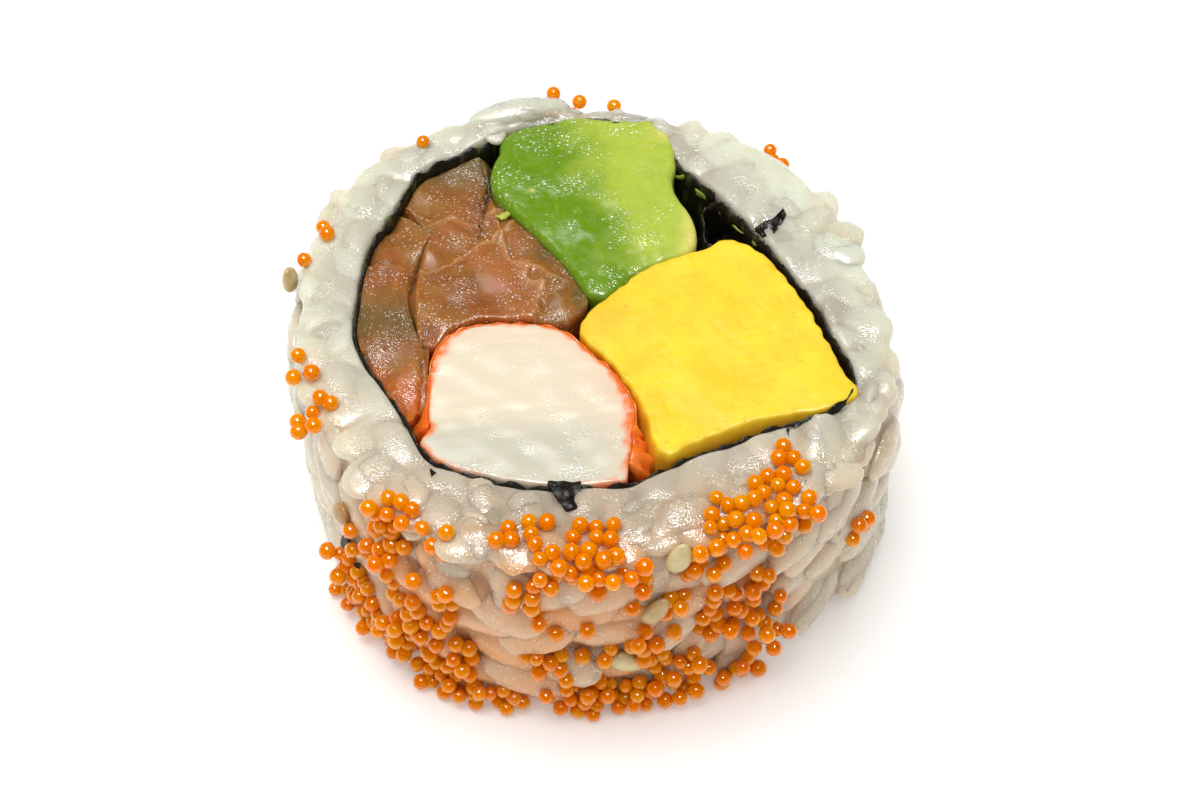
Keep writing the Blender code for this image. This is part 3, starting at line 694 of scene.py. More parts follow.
def makeRice(shape):
    # the mass is the plain form lifted to the grains that lie in it, and the grains themselves stand a
    # little out of it
    rng = np.random.default_rng(shape["seed"])
    angle, base, lift = riceProfile(shape)
    parts = [places(shape, rng) for places in (sideGrainPlaces, rimGrainPlaces, topGrainPlaces)]
    parts.append(markedGrainPlaces(shape))
    grains = [np.concatenate(values) for values in zip(*parts)]
    reach, shade, own = reachOfGrains(base, lift, grains, rng)
    hold = np.ones(len(base))
    hold[-shape["lipRows"]:] = np.linspace(0.6, 0.1, shape["lipRows"])
    reach = reach * hold[:, None]
    outer = base + lift * reach[..., None]
    soft = np.where(lift[..., 2] > 0.9, blurred(reach, 2), blurred(reach, 1))
    covered = shape["fused"] * (1 - ease(lift[..., 2], 0.7, 0.95))
    skin = base + lift * (soft - covered * ease(soft, -0.3, 0.5))[..., None]
    skin[0, :, 2] = 0
    # painted shade: the crevices between grains are coloured deeper, where shade falls
    paintedCreviceShade = np.clip((blurred(reach, 12) - soft) / 0.5, 0, 1)

    columns = shape["around"]
    hole = holeRadius(angle)
    wall = [roundAbout(angle, hole, z) for z in np.linspace(rollHeight - 2.0, 0.0, 4)]
    foot = np.hypot(skin[0, :, 0], skin[0, :, 1])
    under = [roundAbout(angle, hole + (foot - hole) * t, 0.0) for t in (0.33, 0.67)]
    points = np.concatenate([skin, np.array(wall + under)])
    faces = gridFaces(len(points), columns, wrapRows=True, wrapColumns=True)
    plain = np.zeros((len(wall + under), columns))
    shade, paintedCreviceShade = np.concatenate([shade, plain + 0.5]), np.concatenate([0.65 * paintedCreviceShade, plain])
    tones = riceTones(points, shade, paintedCreviceShade, 0 * paintedCreviceShade)
    material = makeRiceMaterial("riceMass", riceColours["soak"])
    makePiece("riceMass", points.reshape(-1, 3), [faces], material, "rice", tones)

    body, bodyFaces = roundedShape(10, 7, lambda x: (1 - np.abs(x) ** 2.5) ** 0.5)
    turn = bearing(grains[0][:, 0], grains[0][:, 1])
    flat = np.concatenate([np.full(len(part[0]), number == 2) for number, part in enumerate(parts)])
    inward = np.hypot(grains[0][:, 0], grains[0][:, 1]) - holeRadius(turn) - 0.9 * grains[2][:, 0]
    single = ~flat | ((rng.random(len(flat)) < 0.12 + 0.4 * hump(turn, -80, 65)) & (inward > 0))
    own = own[single]
    loose, looseFaces = copiesOf(body, bodyFaces, *[values[single] for values in grains])
    loose += 0.10 * wobble(loose, 2.6, 12, (14, 15, 16))
    loose[:, 2] = np.maximum(loose[:, 2], 0.02)
    # painted light: each single grain is lighter towards its edges, where light through it shows
    rim = np.tile(1 - np.abs(body[:, 2]), len(own)) ** 2
    tones = riceTones(loose, np.repeat(own, len(body)), np.zeros(len(loose)), rim)
    material = makeRiceMaterial("riceGrain", riceColours["grainSoak"])
    makePiece("riceGrains", loose, looseFaces, material, "rice", tones)
    return angle, outer


riceAngle, riceSkin = makeRice(riceShape)
print("rice made")


# Roe and sesame on the rice

seedShape = {
    "size": (1.55, 0.95, 0.6), "raised": 0.42, "pale": (0.66, 0.58, 0.30), "brown": (0.40, 0.19, 0.04),
    # angle, way up, lean, shade from pale 0 to brown 1
    "places": ((-139, 14.2, 62, 0.9), (-74, 17.8, 80, 0.15), (-78, 13.2, 65, 0.55), (-83, 6.3, -38, 0.1),
               (171, 18.6, 70, 0.45), (48, 12.5, 30, 0.6), (96, 6.8, -50, 0.2), (112, 15.2, 70, 0.7),
               (12, 9.0, 15, 0.3)),
}
roeColours = {
    "heart": (0.95, 0.235, 0.0), "glow": (1.0, 0.50, 0.0), "soak": 0.4, "soakDepth": 0.6, "clear": 0.25,
}


def surfaceNormals(skin):
    # crosses the steps to the next column and the next row
    along = np.roll(skin, -1, 1) - np.roll(skin, 1, 1)
    up = np.gradient(skin, axis=0)
    return unit(np.cross(along, up))


riceNormals = surfaceNormals(blurred(riceSkin, 3))


def spotOnRice(angle, way):
    # the point of the rice nearest to a place that is way mm up the side, or past the rim and inwards
    column = int(round((angle + 180) / 360 * len(riceAngle))) % len(riceAngle)
    over = max(way - rollHeight, 0)
    target = (outerRadius - over, min(way, rollHeight))
    line = riceSkin[:, column]
    gap = (np.hypot(line[:, 0], line[:, 1]) - target[0]) ** 2 + (line[:, 2] - target[1]) ** 2
    row = int(np.argmin(gap))
    return riceSkin[row, column], riceNormals[row, column]


def spotsOnRice(places):
    # the points and normals for a list of places, each of which starts with its angle and its way up
    return np.array([spotOnRice(place[0], place[1]) for place in places]).transpose(1, 0, 2)


def placeRoe(shape):
    # throws beads into each cluster; one that would overlap a neighbour is dropped or set on top of it
    rng = np.random.default_rng(shape["seed"])
    clusters = list(shape["clusters"])
    for angle, way, along, up, count in shape["clusters"]:
        if way < shape["farTop"]:
            far = halfTurn(angle + shape["farSide"] + rng.uniform(-8, 8))
            clusters.append((far, way, along, up, count * shape["farShare"]))
    spots, sizes = np.zeros((0, 3)), []
    bare, _ = spotsOnRice([*seedShape["places"], shape["clearSpot"]])
    front, back = shape["yRange"]
    for middle, way, along, up, count in clusters:
        left = int(round(count * (shape["more"] + shape["moreBelow"] * (way < shape["low"]))))
        for _ in range(left * shape["tries"]):
            if not left:
                break
            angle = middle + np.degrees(rng.uniform(-1, 1) * along * shape["spread"] / shape["ring"])
            size = shape["radius"] * rng.uniform(0.90, 1.10)
            climb = max(way + rng.uniform(-1, 1) * up * shape["spread"], size)
            point, out = spotOnRice(halfTurn(angle), climb)
            spot = point + out * size * (1 - shape["sink"]) * rng.uniform(0.75, 1.0)
            crowded = len(spots) and np.linalg.norm(spots - spot, axis=1).min() < shape["spacing"]
            if crowded and rng.random() < shape["stack"]:
                spot = spot + out * size * 1.25
                crowded = np.linalg.norm(spots - spot, axis=1).min() < shape["spacing"]
            covers = np.linalg.norm(bare - point, axis=1).min() < shape["clear"]
            outside = spot[2] + size > shape["highest"] or spot[1] - size < front or spot[1] + size > back
            if crowded or covers or outside:
                continue
            spot[2] = max(spot[2], size + 0.02)
            spots = np.vstack([spots, spot])
            sizes.append(size)
            left -= 1
    return spots, np.array(sizes), rng


def makeRoeMaterial():
    # clear orange, lighter where the bead glows, under a smooth wet film
    material, tree, shader = newMaterial("roe")
    shade = sums(tree, "ADD", tone(tree, "glow"), cloud(tree, 1.2, 1, 0.3, 0.7, -0.12, 0.12))
    colour = mixed(tree, shade, roeColours["heart"], roeColours["glow"])
    bumps(tree, shader, ((noise(tree, 0.5, detail=1), 0.02),))
    soak, soakDepth = roeColours["soak"], roeColours["soakDepth"]
    wetFood(tree, shader, colour, 0.08, soak, (1.0, 0.6, 0.1), soakDepth, 0.6, 0.03)
    shader.inputs["Transmission Weight"].default_value = roeColours["clear"]
    return material


def makeRoe(shape):
    # beads are spheres; their undersides are lighter, where light that came through them gathers
    spots, sizes, rng = placeRoe(shape)
    ball, ballFaces = roundedShape(10, 5, lambda x: np.sqrt(1 - x**2))
    turned = rng.normal(size=(len(spots), 3, 3))
    axes = np.linalg.qr(turned)[0]
    axes[np.linalg.det(axes) < 0, 0] *= -1
    squash = 1 + rng.uniform(-0.05, 0.05, (len(spots), 3))
    points, faces = copiesOf(ball, ballFaces, spots, axes, sizes[:, None] * squash)
    middle = np.repeat(spots, len(ball), axis=0)
    away = (points - middle) / np.repeat(sizes, len(ball))[:, None]
    outward = unit(middle * (1, 1, 0))
    own = np.repeat(rng.uniform(-0.2, 0.2, len(spots)), len(ball))
    glow = 0.38 - 0.30 * away[:, 2] - 0.10 * (away * outward).sum(1) + own
    points[:, 2] = np.maximum(points[:, 2], 0.01)
    makePiece("roe", points, faces, makeRoeMaterial(), "rice", {"glow": np.clip(glow, 0, 1)})
    return len(spots)


def makeSeeds(shape):
    # a flat drop: widest towards one end, with a blunt point at the other
    body, bodyFaces = roundedShape(12, 9, lambda x: np.sqrt(1 - np.abs(x) ** 2.2) * (1 - 0.28 * x))
    places, outs = spotsOnRice(shape["places"])
    outs = unit(outs + places * (1, 1, 0) / 12)
    axes = grainFrames(places, outs, np.array([lean for _, _, lean, _ in shape["places"]], float))
    sizes = np.tile(shape["size"], (len(places), 1))
    points, faces = copiesOf(body, bodyFaces, places + shape["raised"] * outs, axes, sizes)
    material, tree, shader = newMaterial("sesame")
    shade = sums(tree, "ADD", tone(tree, "brown"), cloud(tree, 0.7, 3, 0.3, 0.7, -0.2, 0.2))
    colour = mixed(tree, shade, shape["pale"], shape["brown"])
    bumps(tree, shader, ((noise(tree, 0.25, detail=3), 0.03),))
    wetFood(tree, shader, colour, 0.4, 0.15, (1.0, 0.6, 0.3), 0.5, 0.3, 0.2)
    brown = np.repeat([b for _, _, _, b in shape["places"]], len(body))
    makePiece("sesameSeeds", points, faces, material, "rice", {"brown": brown})


print("roe beads:", makeRoe(roeShape))
makeSeeds(seedShape)
print("roe and sesame made")


# Nori

noriShape = {
    "thick": 0.22, "start": 51, "turn": 357, "inset": 0.17, "foot": 0.3, "rows": 16,
    # plan points of its free end, and how far the upper edge falls along it
    "fold": ((10.0, 12.6), (9.5, 12.0), (9.8, 11.0), (9.7, 9.6), (10.3, 8.7), (10.9, 9.2), (10.8, 10.4)),
    "foldDrop": 2.6,
    "proud": ((-28, 9, 0.75), (-139, 7, 0.3)),  # where it stands out of the rice: angle, spread and height
    # on the side of the rice: angle, way up, lean and half sizes
    "bits": ((-139, 10.4, 50, (1.2, 0.8, 0.14)), (-136, 9.0, 60, (0.8, 0.3, 0.10))),
    # scraps on the rice: corner points in mm, and the height of the middle
    "scraps": (
        (((-3.0, -16.9), (-0.4, -16.9), (-0.5, -19.3), (-1.5, -19.6), (-2.2, -18.3)), 19.75),
        (((-11.7, -15.7), (-10.7, -16.5), (-11.0, -17.4), (-11.5, -16.6)), 19.7),
        (((15.0, -12.0), (16.3, -11.2), (15.9, -13.3), (15.2, -12.9)), 19.6),
        (((13.6, 8.7), (14.2, 7.7), (15.2, 8.1), (16.3, 10.2), (16.0, 10.9), (15.3, 9.7), (14.5, 9.3)),
         19.85),
    ),
}


def makeNoriMaterial():
    # black brown with fibres, green where it is thin
    material, tree, shader = newMaterial("nori")
    fibres = noise(tree, 0.5, detail=4, stretch=(1.0, 1.0, 2.5))
    colour = mixed(tree, remap(tree, fibres, 0.4, 0.7), (0.006, 0.004, 0.003), (0.022, 0.018, 0.008))
    colour = tinted(tree, colour, "thin", (0.10, 0.12, 0.02))
    rough = cloud(tree, 0.9, 3, 0.3, 0.7, 0.25, 0.55)
    bumps(tree, shader, ((noise(tree, 1.3, detail=3), 0.25), (noise(tree, 0.3, detail=3), 0.08)))
    wetFood(tree, shader, colour, rough, 0.0, (1, 1, 1), 1.0, 0.05, 0.2)
    return material


def noriPath(shape):
    # round the hole's edge, a little inside it, then into the fold
    turn = np.arange(shape["start"], shape["start"] + shape["turn"], 0.8)
    ring = roundAbout(turn, holeRadius(turn) - shape["inset"], 0)[:, :2]
    fold = curveThrough([ring[-1], *shape["fold"]], 0.25)[1:]
    return np.concatenate([ring, fold]), len(ring)


def makeNoriSheet(shape, material):
    # a flat loop carried along the path: up its outer face and down its inner one, with creases that push
    # both faces the same way, and a ragged upper edge
    path, ringCount = noriPath(shape)
    walked, side = walkedAlong(path)
    folded = ease(np.arange(len(path)), ringCount - 8, len(path) - 1)
    free = ease(np.arange(len(path)), ringCount - 40, ringCount - 25)
    ragged = 0.14 * waves(walked[:, None], 2.2, 8, 21)
    ragged += (0.03 + 0.07 * free) * waves(walked[:, None], 0.7, 8, 22)
    rim = rollHeight - 0.05 + 1.6 * ragged - shape["foldDrop"] * folded
    for middle, spread, height in shape["proud"]:
        rim += height * hump(bearing(path[:, 0], path[:, 1]), middle, spread) * (1 - folded)
    level = np.linspace(0, 1, shape["rows"])[:, None] ** 0.7
    z = shape["foot"] + (rim - shape["foot"])[None] * level
    where = np.stack([walked[None] + 0 * z, z], -1)
    crease = (0.02 + 0.10 * free + 0.25 * folded) * waves(where, 2.6, 14, 23) * ease(level, 0.2, 0.9)
    faces = []
    half = shape["thick"] / 2 * (1 - 0.5 * ease(level, 0.97, 1.0))
    for sign in (-1, 1):
        shifted = path[None] + side[None] * (crease + sign * half)[..., None]
        faces.append(np.concatenate([shifted, z[..., None]], -1))
    rows = np.concatenate([faces[0], faces[1][::-1]])
    thin = np.clip(waves(where, 1.6, 10, 24) - 0.9, 0, 1) * ease(level, 0.6, 0.9)
    tones = {"thin": np.concatenate([thin, thin[::-1]])}
    makePiece("noriSheet", rows.reshape(-1, 3), loopFaces(*rows.shape[:2]), material, "nori", tones)


def makeNoriScraps(shape, material):
    # two copies of each filled outline, one over the other on the same waves, and walls between them
    places, faceSets, total = [], [], 0
    for number, (corners, middle) in enumerate(shape["scraps"]):
        flat, flatFaces, wall = filledTop(np.array(corners), np.mean(corners, 0), 17, 0.0)
        wavy = 0.14 * waves(flat, 1.4, 8, 30 + number)
        upper = np.column_stack([flat, middle + 0.14 + wavy])
        lower = np.column_stack([flat, middle - 0.12 + wavy])
        size = len(flat)
        rim = np.stack([wall, wall + size, np.roll(wall, -1) + size, np.roll(wall, -1)], 1)
        places += [upper, lower]
        faceSets += [flatFaces + total, flatFaces[:, ::-1] + total + size, rim + total]
        total += 2 * size
    scraps = np.concatenate(places)
    makePiece("noriScraps", scraps, faceSets, material, "nori", {"thin": np.zeros(len(scraps))})


def makeNoriBits(shape, material):
    # flat drops, wider at one end, that lie on the side of the rice
    body, bodyFaces = roundedShape(10, 5, lambda x: np.sqrt(1 - np.abs(x) ** 2) * (1 + 0.5 * x))
    spots, outs = spotsOnRice(shape["bits"])
    axes = grainFrames(spots, outs, np.array([lean for _, _, lean, _ in shape["bits"]], float))
    sizes = np.array([size for *_, size in shape["bits"]])
    bits, bitFaces = copiesOf(body, bodyFaces, spots + 0.25 * outs, axes, sizes)
    makePiece("noriBits", bits, bitFaces, material, "nori", {"thin": np.zeros(len(bits))})


# Fillings

def filledTop(outline, centre, count, crowd):
    # a square grid bent to fill an outline: rings of the square go to rings of the outline, shrunk towards
    # its centre. Gives plan points, faces and the numbers of the edge points in order.
    s = np.linspace(-1, 1, count)
    y, x = np.meshgrid(s, s, indexing="ij")
    t = np.maximum(np.abs(x), np.abs(y))
    wide = np.abs(x) >= np.abs(y)
    safe = np.where(t == 0, 1, t)
    sideOn = np.pi / 4 * y / np.where(wide, np.where(x == 0, safe, x), 1) + np.pi * (x < 0)
    endOn = np.pi / 2 - np.pi / 4 * x / np.where(wide, 1, np.where(y == 0, safe, y)) + np.pi * (y < 0)
    angle = np.where(wide, sideOn, endOn)
    share = 1 - (1 - t) ** (1 + crowd)
    dense = evenly(outline, 2000)
    turn = np.arctan2(dense[:, 1] - centre[1], dense[:, 0] - centre[0])
    far = np.linalg.norm(dense - centre, axis=1)
    order = np.argsort(turn)
    reach = np.interp(angle, turn[order], far[order], period=2 * np.pi)
    flat = np.array(centre) + (share * reach)[..., None] * np.stack([np.cos(angle), np.sin(angle)], -1)
    number = np.arange(count * count).reshape(count, count)
    edge = np.concatenate([number[0, :-1], number[:-1, -1], number[-1, :0:-1], number[:0:-1, 0]])
    return flat.reshape(-1, 2), gridFaces(count, count), edge


def evenly(outline, count):
    # equal steps round a closed outline
    corners = np.vstack([outline, outline[:1]])
    steps = wayWalked(corners)
    walk = np.linspace(0, steps[-1], count, endpoint=False)
    return np.stack([np.interp(walk, steps, corners[:, k]) for k in (0, 1)], 1)


def lowCorners(name):
    # the plan of a filling: the lower corners of its upright faces
    mesh = nodes[name].data
    upright = [face for face in mesh.polygons if abs(face.normal.z) < 0.3]
    corners = [mesh.vertices[v].co for face in upright for v in face.vertices]
    low = np.array([tuple(c) for c in corners if c.z < 0.4 * mm]) / mm
    return np.unique(np.round(low[:, :2], 3), axis=0)


def toNori(points):
    # whatever lies close inside the nori is moved out to touch it
    r = np.linalg.norm(points, axis=1)
    gap = holeRadius(bearing(points[:, 0], points[:, 1])) - r
    grown = r + (gap - noriGap) * (1 - ease(gap, 1.25, 1.8))
    return points * (grown / r)[:, None]


def outlineOf(name, centre, grow, pressed=None):
    # the filling's plan outline, smoothed, grown outwards by so many mm and pushed against the nori: all
    # round, or gradually from the first y of pressed forward to the second
    corners = lowCorners(name)
    corners = corners[np.argsort(np.arctan2(corners[:, 1] - centre[1], corners[:, 0] - centre[0]))]
    line = evenly(corners, 360)
    for _ in range(4):
        line = 0.5 * line + 0.25 * (np.roll(line, 1, 0) + np.roll(line, -1, 0))
    line = line + grow * outwardOf(line)
    share = 1 if pressed is None else ease(-line[:, 1:], -pressed[0], -pressed[1])
    return line + (toNori(line) - line) * share


def pulledTo(outline, target, spread):
    # draws the nearest stretch of an outline out to a corner
    gap = np.linalg.norm(outline - target, axis=1)
    nearest = outline[gap.argmin()]
    away = np.linalg.norm(outline - nearest, axis=1)
    return outline + (np.array(target) - nearest) * np.exp(-(away / spread) ** 2)[:, None]


def outwardOf(outline):
    # square to the line from the point before to the point after, away from the inside
    run = np.roll(outline, -1, 0) - np.roll(outline, 1, 0)
    return unit(np.stack([run[:, 1], -run[:, 0]], 1))


def edgeDistance(points, outline):
    # distance from each point to the nearest side of the outline
    return np.linalg.norm(gapsTo(points, outline, np.roll(outline, -1, axis=0)), axis=2).min(1)


def makeFilling(name, outline, plan, topHeight, material, node, tonesOf, overhang=None,
                skirt=None):
    # upper face from topHeight, its edge rounded as a quarter circle and moved out by overhang, then walls
    # with slow waves, which may stand out below the edge as a skirt, and a flat base
    flat, faces, edge = filledTop(outline, np.array(plan["centre"]), plan["grid"], plan["crowd"])
    depth = edgeDistance(flat, outline)
    rounding = plan["round"]
    drop = rounding * (1 - np.sqrt(1 - np.clip(1 - depth / rounding, 0, 1) ** 2))
    z = topHeight(flat, depth) - drop
    spread = flat if overhang is None else flat + overhang(flat, depth)
    top = np.column_stack([spread, z])
    rimPlace, rimHeight = flat[edge], z[edge]
    outward = outwardOf(rimPlace)
    rows = []
    for share in np.linspace(0.03, 1, plan["wallRows"]):
        height = rimHeight * (1 - share)
        ripple = waves(np.column_stack([rimPlace, height]), 3.0, 12, 41) * (1 - share) - 1
        ripple = plan["wallWave"] * ripple
        if skirt is not None:
            ripple = ripple + skirt(rimPlace, rimHeight - height)
        rows.append(np.column_stack([rimPlace + outward * ripple[:, None], height]))
    walls = np.array(rows)
    total, around = len(top), len(edge)
    points = np.concatenate([top, walls.reshape(-1, 3)])
    first = total + np.arange(around)
    collar = np.stack([edge, first, np.roll(first, -1), np.roll(edge, -1)], 1)
    wallFaces = gridFaces(len(walls), around, wrapColumns=True)[:, ::-1] + total
    base = (total + (len(walls) - 1) * around + np.arange(around))[None, ::-1]
    tones = tonesOf(points, np.concatenate([depth, np.zeros(walls.shape[0] * around)]))
    makePiece(name, points, [faces, collar, wallFaces, base], material, node, tones)


# Nori and fish

noriMaterial = makeNoriMaterial()
makeNoriSheet(noriShape, noriMaterial)
makeNoriScraps(noriShape, noriMaterial)
makeNoriBits(noriShape, noriMaterial)
print("nori made")

fishShape = {
    "lump": {"centre": (-9.5, 5.0), "grow": 0.27, "grid": 131, "crowd": 0.15, "round": 0.3, "wallRows": 10,
             "wallWave": 0.05, "backFill": (100, 128)},
    # the groove beside the lump has a bearing and a spread; crabSide is how far the stick's left side is out
    "strip": {"along": 190, "across": 15, "wallRows": 10, "groove": (168, 13), "grooveWide": 0.75,
              "grooveDepth": (0.1, 1.3), "crabSide": 12.42, "level": -0.15},
    # layers of the lump: the line that a layer ends on, and how far it stands over what is beyond
    "layers": (
        (((-14.6, 4.9), (-12.4, 4.6), (-10.4, 6.0), (-8.0, 8.2), (-5.8, 11.6)), 0.34),
        (((-6.9, 8.4), (-6.2, 5.6), (-4.4, 4.9), (-4.9, 3.6), (-3.4, 2.9), (-3.9, 0.2)), 0.36),
        (((-4.6, 5.4), (-1.6, 3.4), (-2.2, 1.8), (-1.4, -0.6)), 0.25),
        (((-15.5, 9.6), (-13.0, 10.2), (-11.2, 11.0), (-9.4, 10.2), (-7.2, 12.6)), 0.25),
    ),
    "light": (0.35, 0.115, 0.026), "deep": (0.22, 0.072, 0.014), "pink": (0.42, 0.145, 0.045),
    # painted shade: the dark tone low on the walls and the one in the folds under the layers' edges
    "green": (0.15, 0.110, 0.034), "dark": (0.32, 0.080, 0.006), "valley": (0.34, 0.115, 0.010),
    # painted highlight: the lip tone along the layers' edges
    "lip": (0.60, 0.35, 0.18), "ember": (0.50, 0.12, 0.014), "ochre": (0.32, 0.150, 0.030),
    # the tones that are laid over the browns, in order, and their share
    "tints": (("pink", 0.6), ("green", None), ("valley", 0.65), ("lip", 0.35), ("dark", None),
              ("ember", None)),
    "closing": 0.8,  # how far the lump's wall leans towards the strip below its edge
}


def sideOfLine(points, line):
    # signed distance to a bent line: positive on its left
    a, b = np.array(line[:-1]), np.array(line[1:])
    run = b - a
    gap = gapsTo(points, a, b)
    length = np.linalg.norm(gap, axis=2)
    nearest = length.argmin(1)
    rows = np.arange(len(points))
    cross = run[nearest, 0] * gap[rows, nearest, 1] - run[nearest, 1] * gap[rows, nearest, 0]
    return np.sign(cross + 1e-12) * length[rows, nearest]


def fishTop(flat, depth=None):
    # falls towards the back left, with soft folds, and steps down where a layer ends
    x, y = flat[:, 0], flat[:, 1]
    slope = 0.02 * (x + 8) - 0.04 * (np.maximum(y, -1) - 3)
    ragged = 0.12 * waves(flat, 1.5, 10, 62)
    height = rollHeight - 0.25 + slope + 0.18 * waves(flat, 4.5, 10, 61) + 0.02 * waves(flat, 1.4, 14, 63)
    height -= 0.55 * (1 - ease(y - 0.05 * (x + 8) ** 2, -3.6, -1.6)) * (x > -13)
    for line, step in fishShape["layers"]:
        side = -sideOfLine(flat, line) + ragged
        swell = 0.15 * step * hump(side, 0.6, 0.7)
        height += step * (ease(side, -0.2, 0.2) - 0.5) + swell
    return height


def fishTones(points, depth):
    # darker towards the bottom and in the groove as painted shade, greenish at the right tip and the back
    x, y, z = points.T
    dark = 1 - ease(z, rollHeight - 5.0, rollHeight - 1.0)
    green = hump(x, -1.4, 2.0) * hump(y, 2.0, 3.0) + 0.8 * ease(y, 13.5, 17.0)
    green = np.clip(green + 0.6 * hump(x, -3.6, 1.6) * hump(y, 6.4, 1.8), 0, 1)
    side = -sideOfLine(points[:, :2], fishShape["layers"][1][0])
    pink = ease(side, -0.1, 0.2) * (1 - ease(side, 1.5, 4.5)) * ease(-y, -8.0, -5.0)
    # painted shade in the fold under each layer's edge, and a painted highlight along that edge
    lip, valley = 0, 0
    for line, _ in fishShape["layers"]:
        side = -sideOfLine(points[:, :2], line) + 0.12 * waves(points[:, :2], 1.5, 10, 62)
        lip = np.maximum(lip, hump(side, 0.22, 0.30))
        valley = np.maximum(valley, hump(side, -0.35, 0.45))
    valley = valley * (1 - dark)
    return {"dark": dark, "green": green, "pink": pink, "lip": lip, "valley": valley, "ember": 0 * x}


def fishSkirt(places, below):
    # the lump's wall leans out towards the strip and the avocado, which leaves only shallow grooves
    centre, y = fishShape["lump"]["centre"], places[:, 1]
    turn = bearing(places[:, 0] - centre[0], y - centre[1]) % 360
    facing = ease(turn, 118, 135) * (1 - ease(turn, 225, 240)) * (1 - 0.55 * hump(y, 4.5, 3.0))
    facing += 0.7 * ease(turn, 30, 45) * (1 - ease(turn, 92, 100))
    return fishShape["closing"] * facing * ease(below, 0.05, 0.7)


def makeFishMaterial(shape):
    # browns from deep to light with the tones over them, painted glints in patches, and light that soaks in
    material, tree, shader = newMaterial("fish")
    cloudy = noise(tree, 2.6, detail=5, roughness=0.6)
    colour = mixed(tree, remap(tree, cloudy, 0.33, 0.66), shape["deep"], shape["light"])
    colour = mixed(tree, cloud(tree, 3.4, 3, 0.42, 0.62, 0.0, 0.75), colour, shape["ochre"])
    # the tints include painted shade low on the walls and in the folds, and a painted highlight on the
    # layers' edges
    for name, share in shape["tints"]:
        colour = tinted(tree, colour, name, shape[name], share)
    patches = cloud(tree, 2.2, 1, 0.38, 0.56, 0.12, 1.0)
    colour = withPaintedGlints(tree, colour, 0.32, patches, 0.70)
    streaks = noise(tree, 1.6, detail=2, stretch=(0.5, 1.4, 1))
    rough = cloud(tree, 0.6, 3, 0.3, 0.7, 0.24, 0.42)
    bumps(tree, shader, ((streaks, 0.02), (noise(tree, 0.13, detail=0), 0.07, patches)))
    wetFood(tree, shader, colour, rough, 0.8, (1.0, 0.55, 0.25), 3.0, 0.25, 0.10)
    return material


def makeFishLump(shape, material):
    # at the back left the lump reaches the nori, between the two bearings of backFill
    plan = shape["lump"]
    centre = np.array(plan["centre"])
    outline = outlineOf("fish_folded", plan["centre"], plan["grow"])
    away = outline - centre
    turn = bearing(away[:, 0], away[:, 1])
    low, high = plan["backFill"]
    inside = ease(turn, low - 2, low) * (1 - ease(turn, high, high + 2))
    stretch = np.linspace(1, 3, 401)
    rays = centre + away[:, None] * stretch[None, :, None]
    limit = holeRadius(bearing(rays[..., 0], rays[..., 1])) - noriGap
    past = np.linalg.norm(rays, axis=-1) > limit
    full = np.where(past.any(1), stretch[past.argmax(1)], 1)
    outline = centre + away * (1 + inside * (full - 1))[:, None]
    makeFilling("fishLump", outline, plan, fishTop, material, "fish_folded", fishTones,
                skirt=fishSkirt)


def makeFishStrip(shape, material):
    # a sheet between two lines that follow the nori, a little below the lump's height and lower along the
    # nori; walls and a flat base close it. Below its edge the inner wall leans in and closes the groove.
    plan = shape["strip"]
    corners = lowCorners("fish_strip")
    found = bearing(corners[:, 0], corners[:, 1]) % 360
    r = np.linalg.norm(corners, axis=1)
    turn = np.linspace(found.min(), found.max(), plan["along"])
    even = np.arange(plan["along"])
    inner = np.array([r[np.abs(found - t) < 3.4].min() for t in turn]) - 0.1
    inner = smoothed(inner, 6)
    outer = holeRadius(turn) - noriGap
    thin = 1 - ease(even, plan["along"] - 10, plan["along"])
    parted = hump(turn, *plan["groove"])
    crab = plan["crabSide"] / np.abs(np.cos(np.radians(turn))) * (turn > 186)
    inner = np.maximum(inner - 0.5 - plan["grooveWide"] * (1 - parted) - 0.8 * ease(turn, 188, 200), crab)
    inner = outer + (inner - outer) * (0.3 + 0.7 * thin)
    across = np.linspace(0, 1, plan["across"])[:, None]
    radius = outer[None] * (1 - across) + inner[None] * across
    c, s = compass(turn)
    x, y = radius * c, radius * s
    flat = np.stack([x, y], -1)
    z = fishTop(flat.reshape(-1, 2)).reshape(x.shape) + plan["level"]
    z -= 0.3 * (1 - ease(across, 0.0, 0.3)) + 0.35 * ease(across, 0.75, 1.0) * parted
    z -= 0.55 * (1 - ease(y, -9.0, -3.0))
    top = np.stack([x, y, z], -1)
    down = np.linspace(0, 1, plan["wallRows"])[1:, None] ** 1.6
    level = z[-1] * (1 - down)
    low, high = plan["grooveDepth"]
    lean = plan["grooveWide"] * 1.1 * ease(z[-1] - level, low, high) * parted[None]
    wallIn = np.stack([(inner - lean) * c, (inner - lean) * s, level], -1)
    wallOut = np.stack([x[0] + 0 * down, y[0] + 0 * down, z[0] * (1 - down)], -1)
    loop = np.concatenate([top, wallIn, wallOut[::-1]])
    faces = loopFaces(*loop.shape[:2])
    points = loop.reshape(-1, 3)
    _, y, z = points.T
    # painted shade, darker down the walls
    dark = 1 - ease(z, rollHeight - 5.0, rollHeight - 1.7)
    ember = 0.9 * (1 - ease(y + 0.8 * waves(points, 1.6, 8, 65), -8.5, -5.0))
    green = 0.8 * hump(y, -1.0, 2.6) * ease(z, rollHeight - 3.5, rollHeight - 1.5)
    plain = np.zeros(len(points))
    tones = {"dark": dark, "green": green, "pink": plain, "lip": plain, "valley": plain, "ember": ember}
    makePiece("fishStrip", points, faces, material, "fish_strip", tones)


fishMaterial = makeFishMaterial(fishShape)
makeFishLump(fishShape, fishMaterial)
makeFishStrip(fishShape, fishMaterial)
print("fish made")


# Avocado

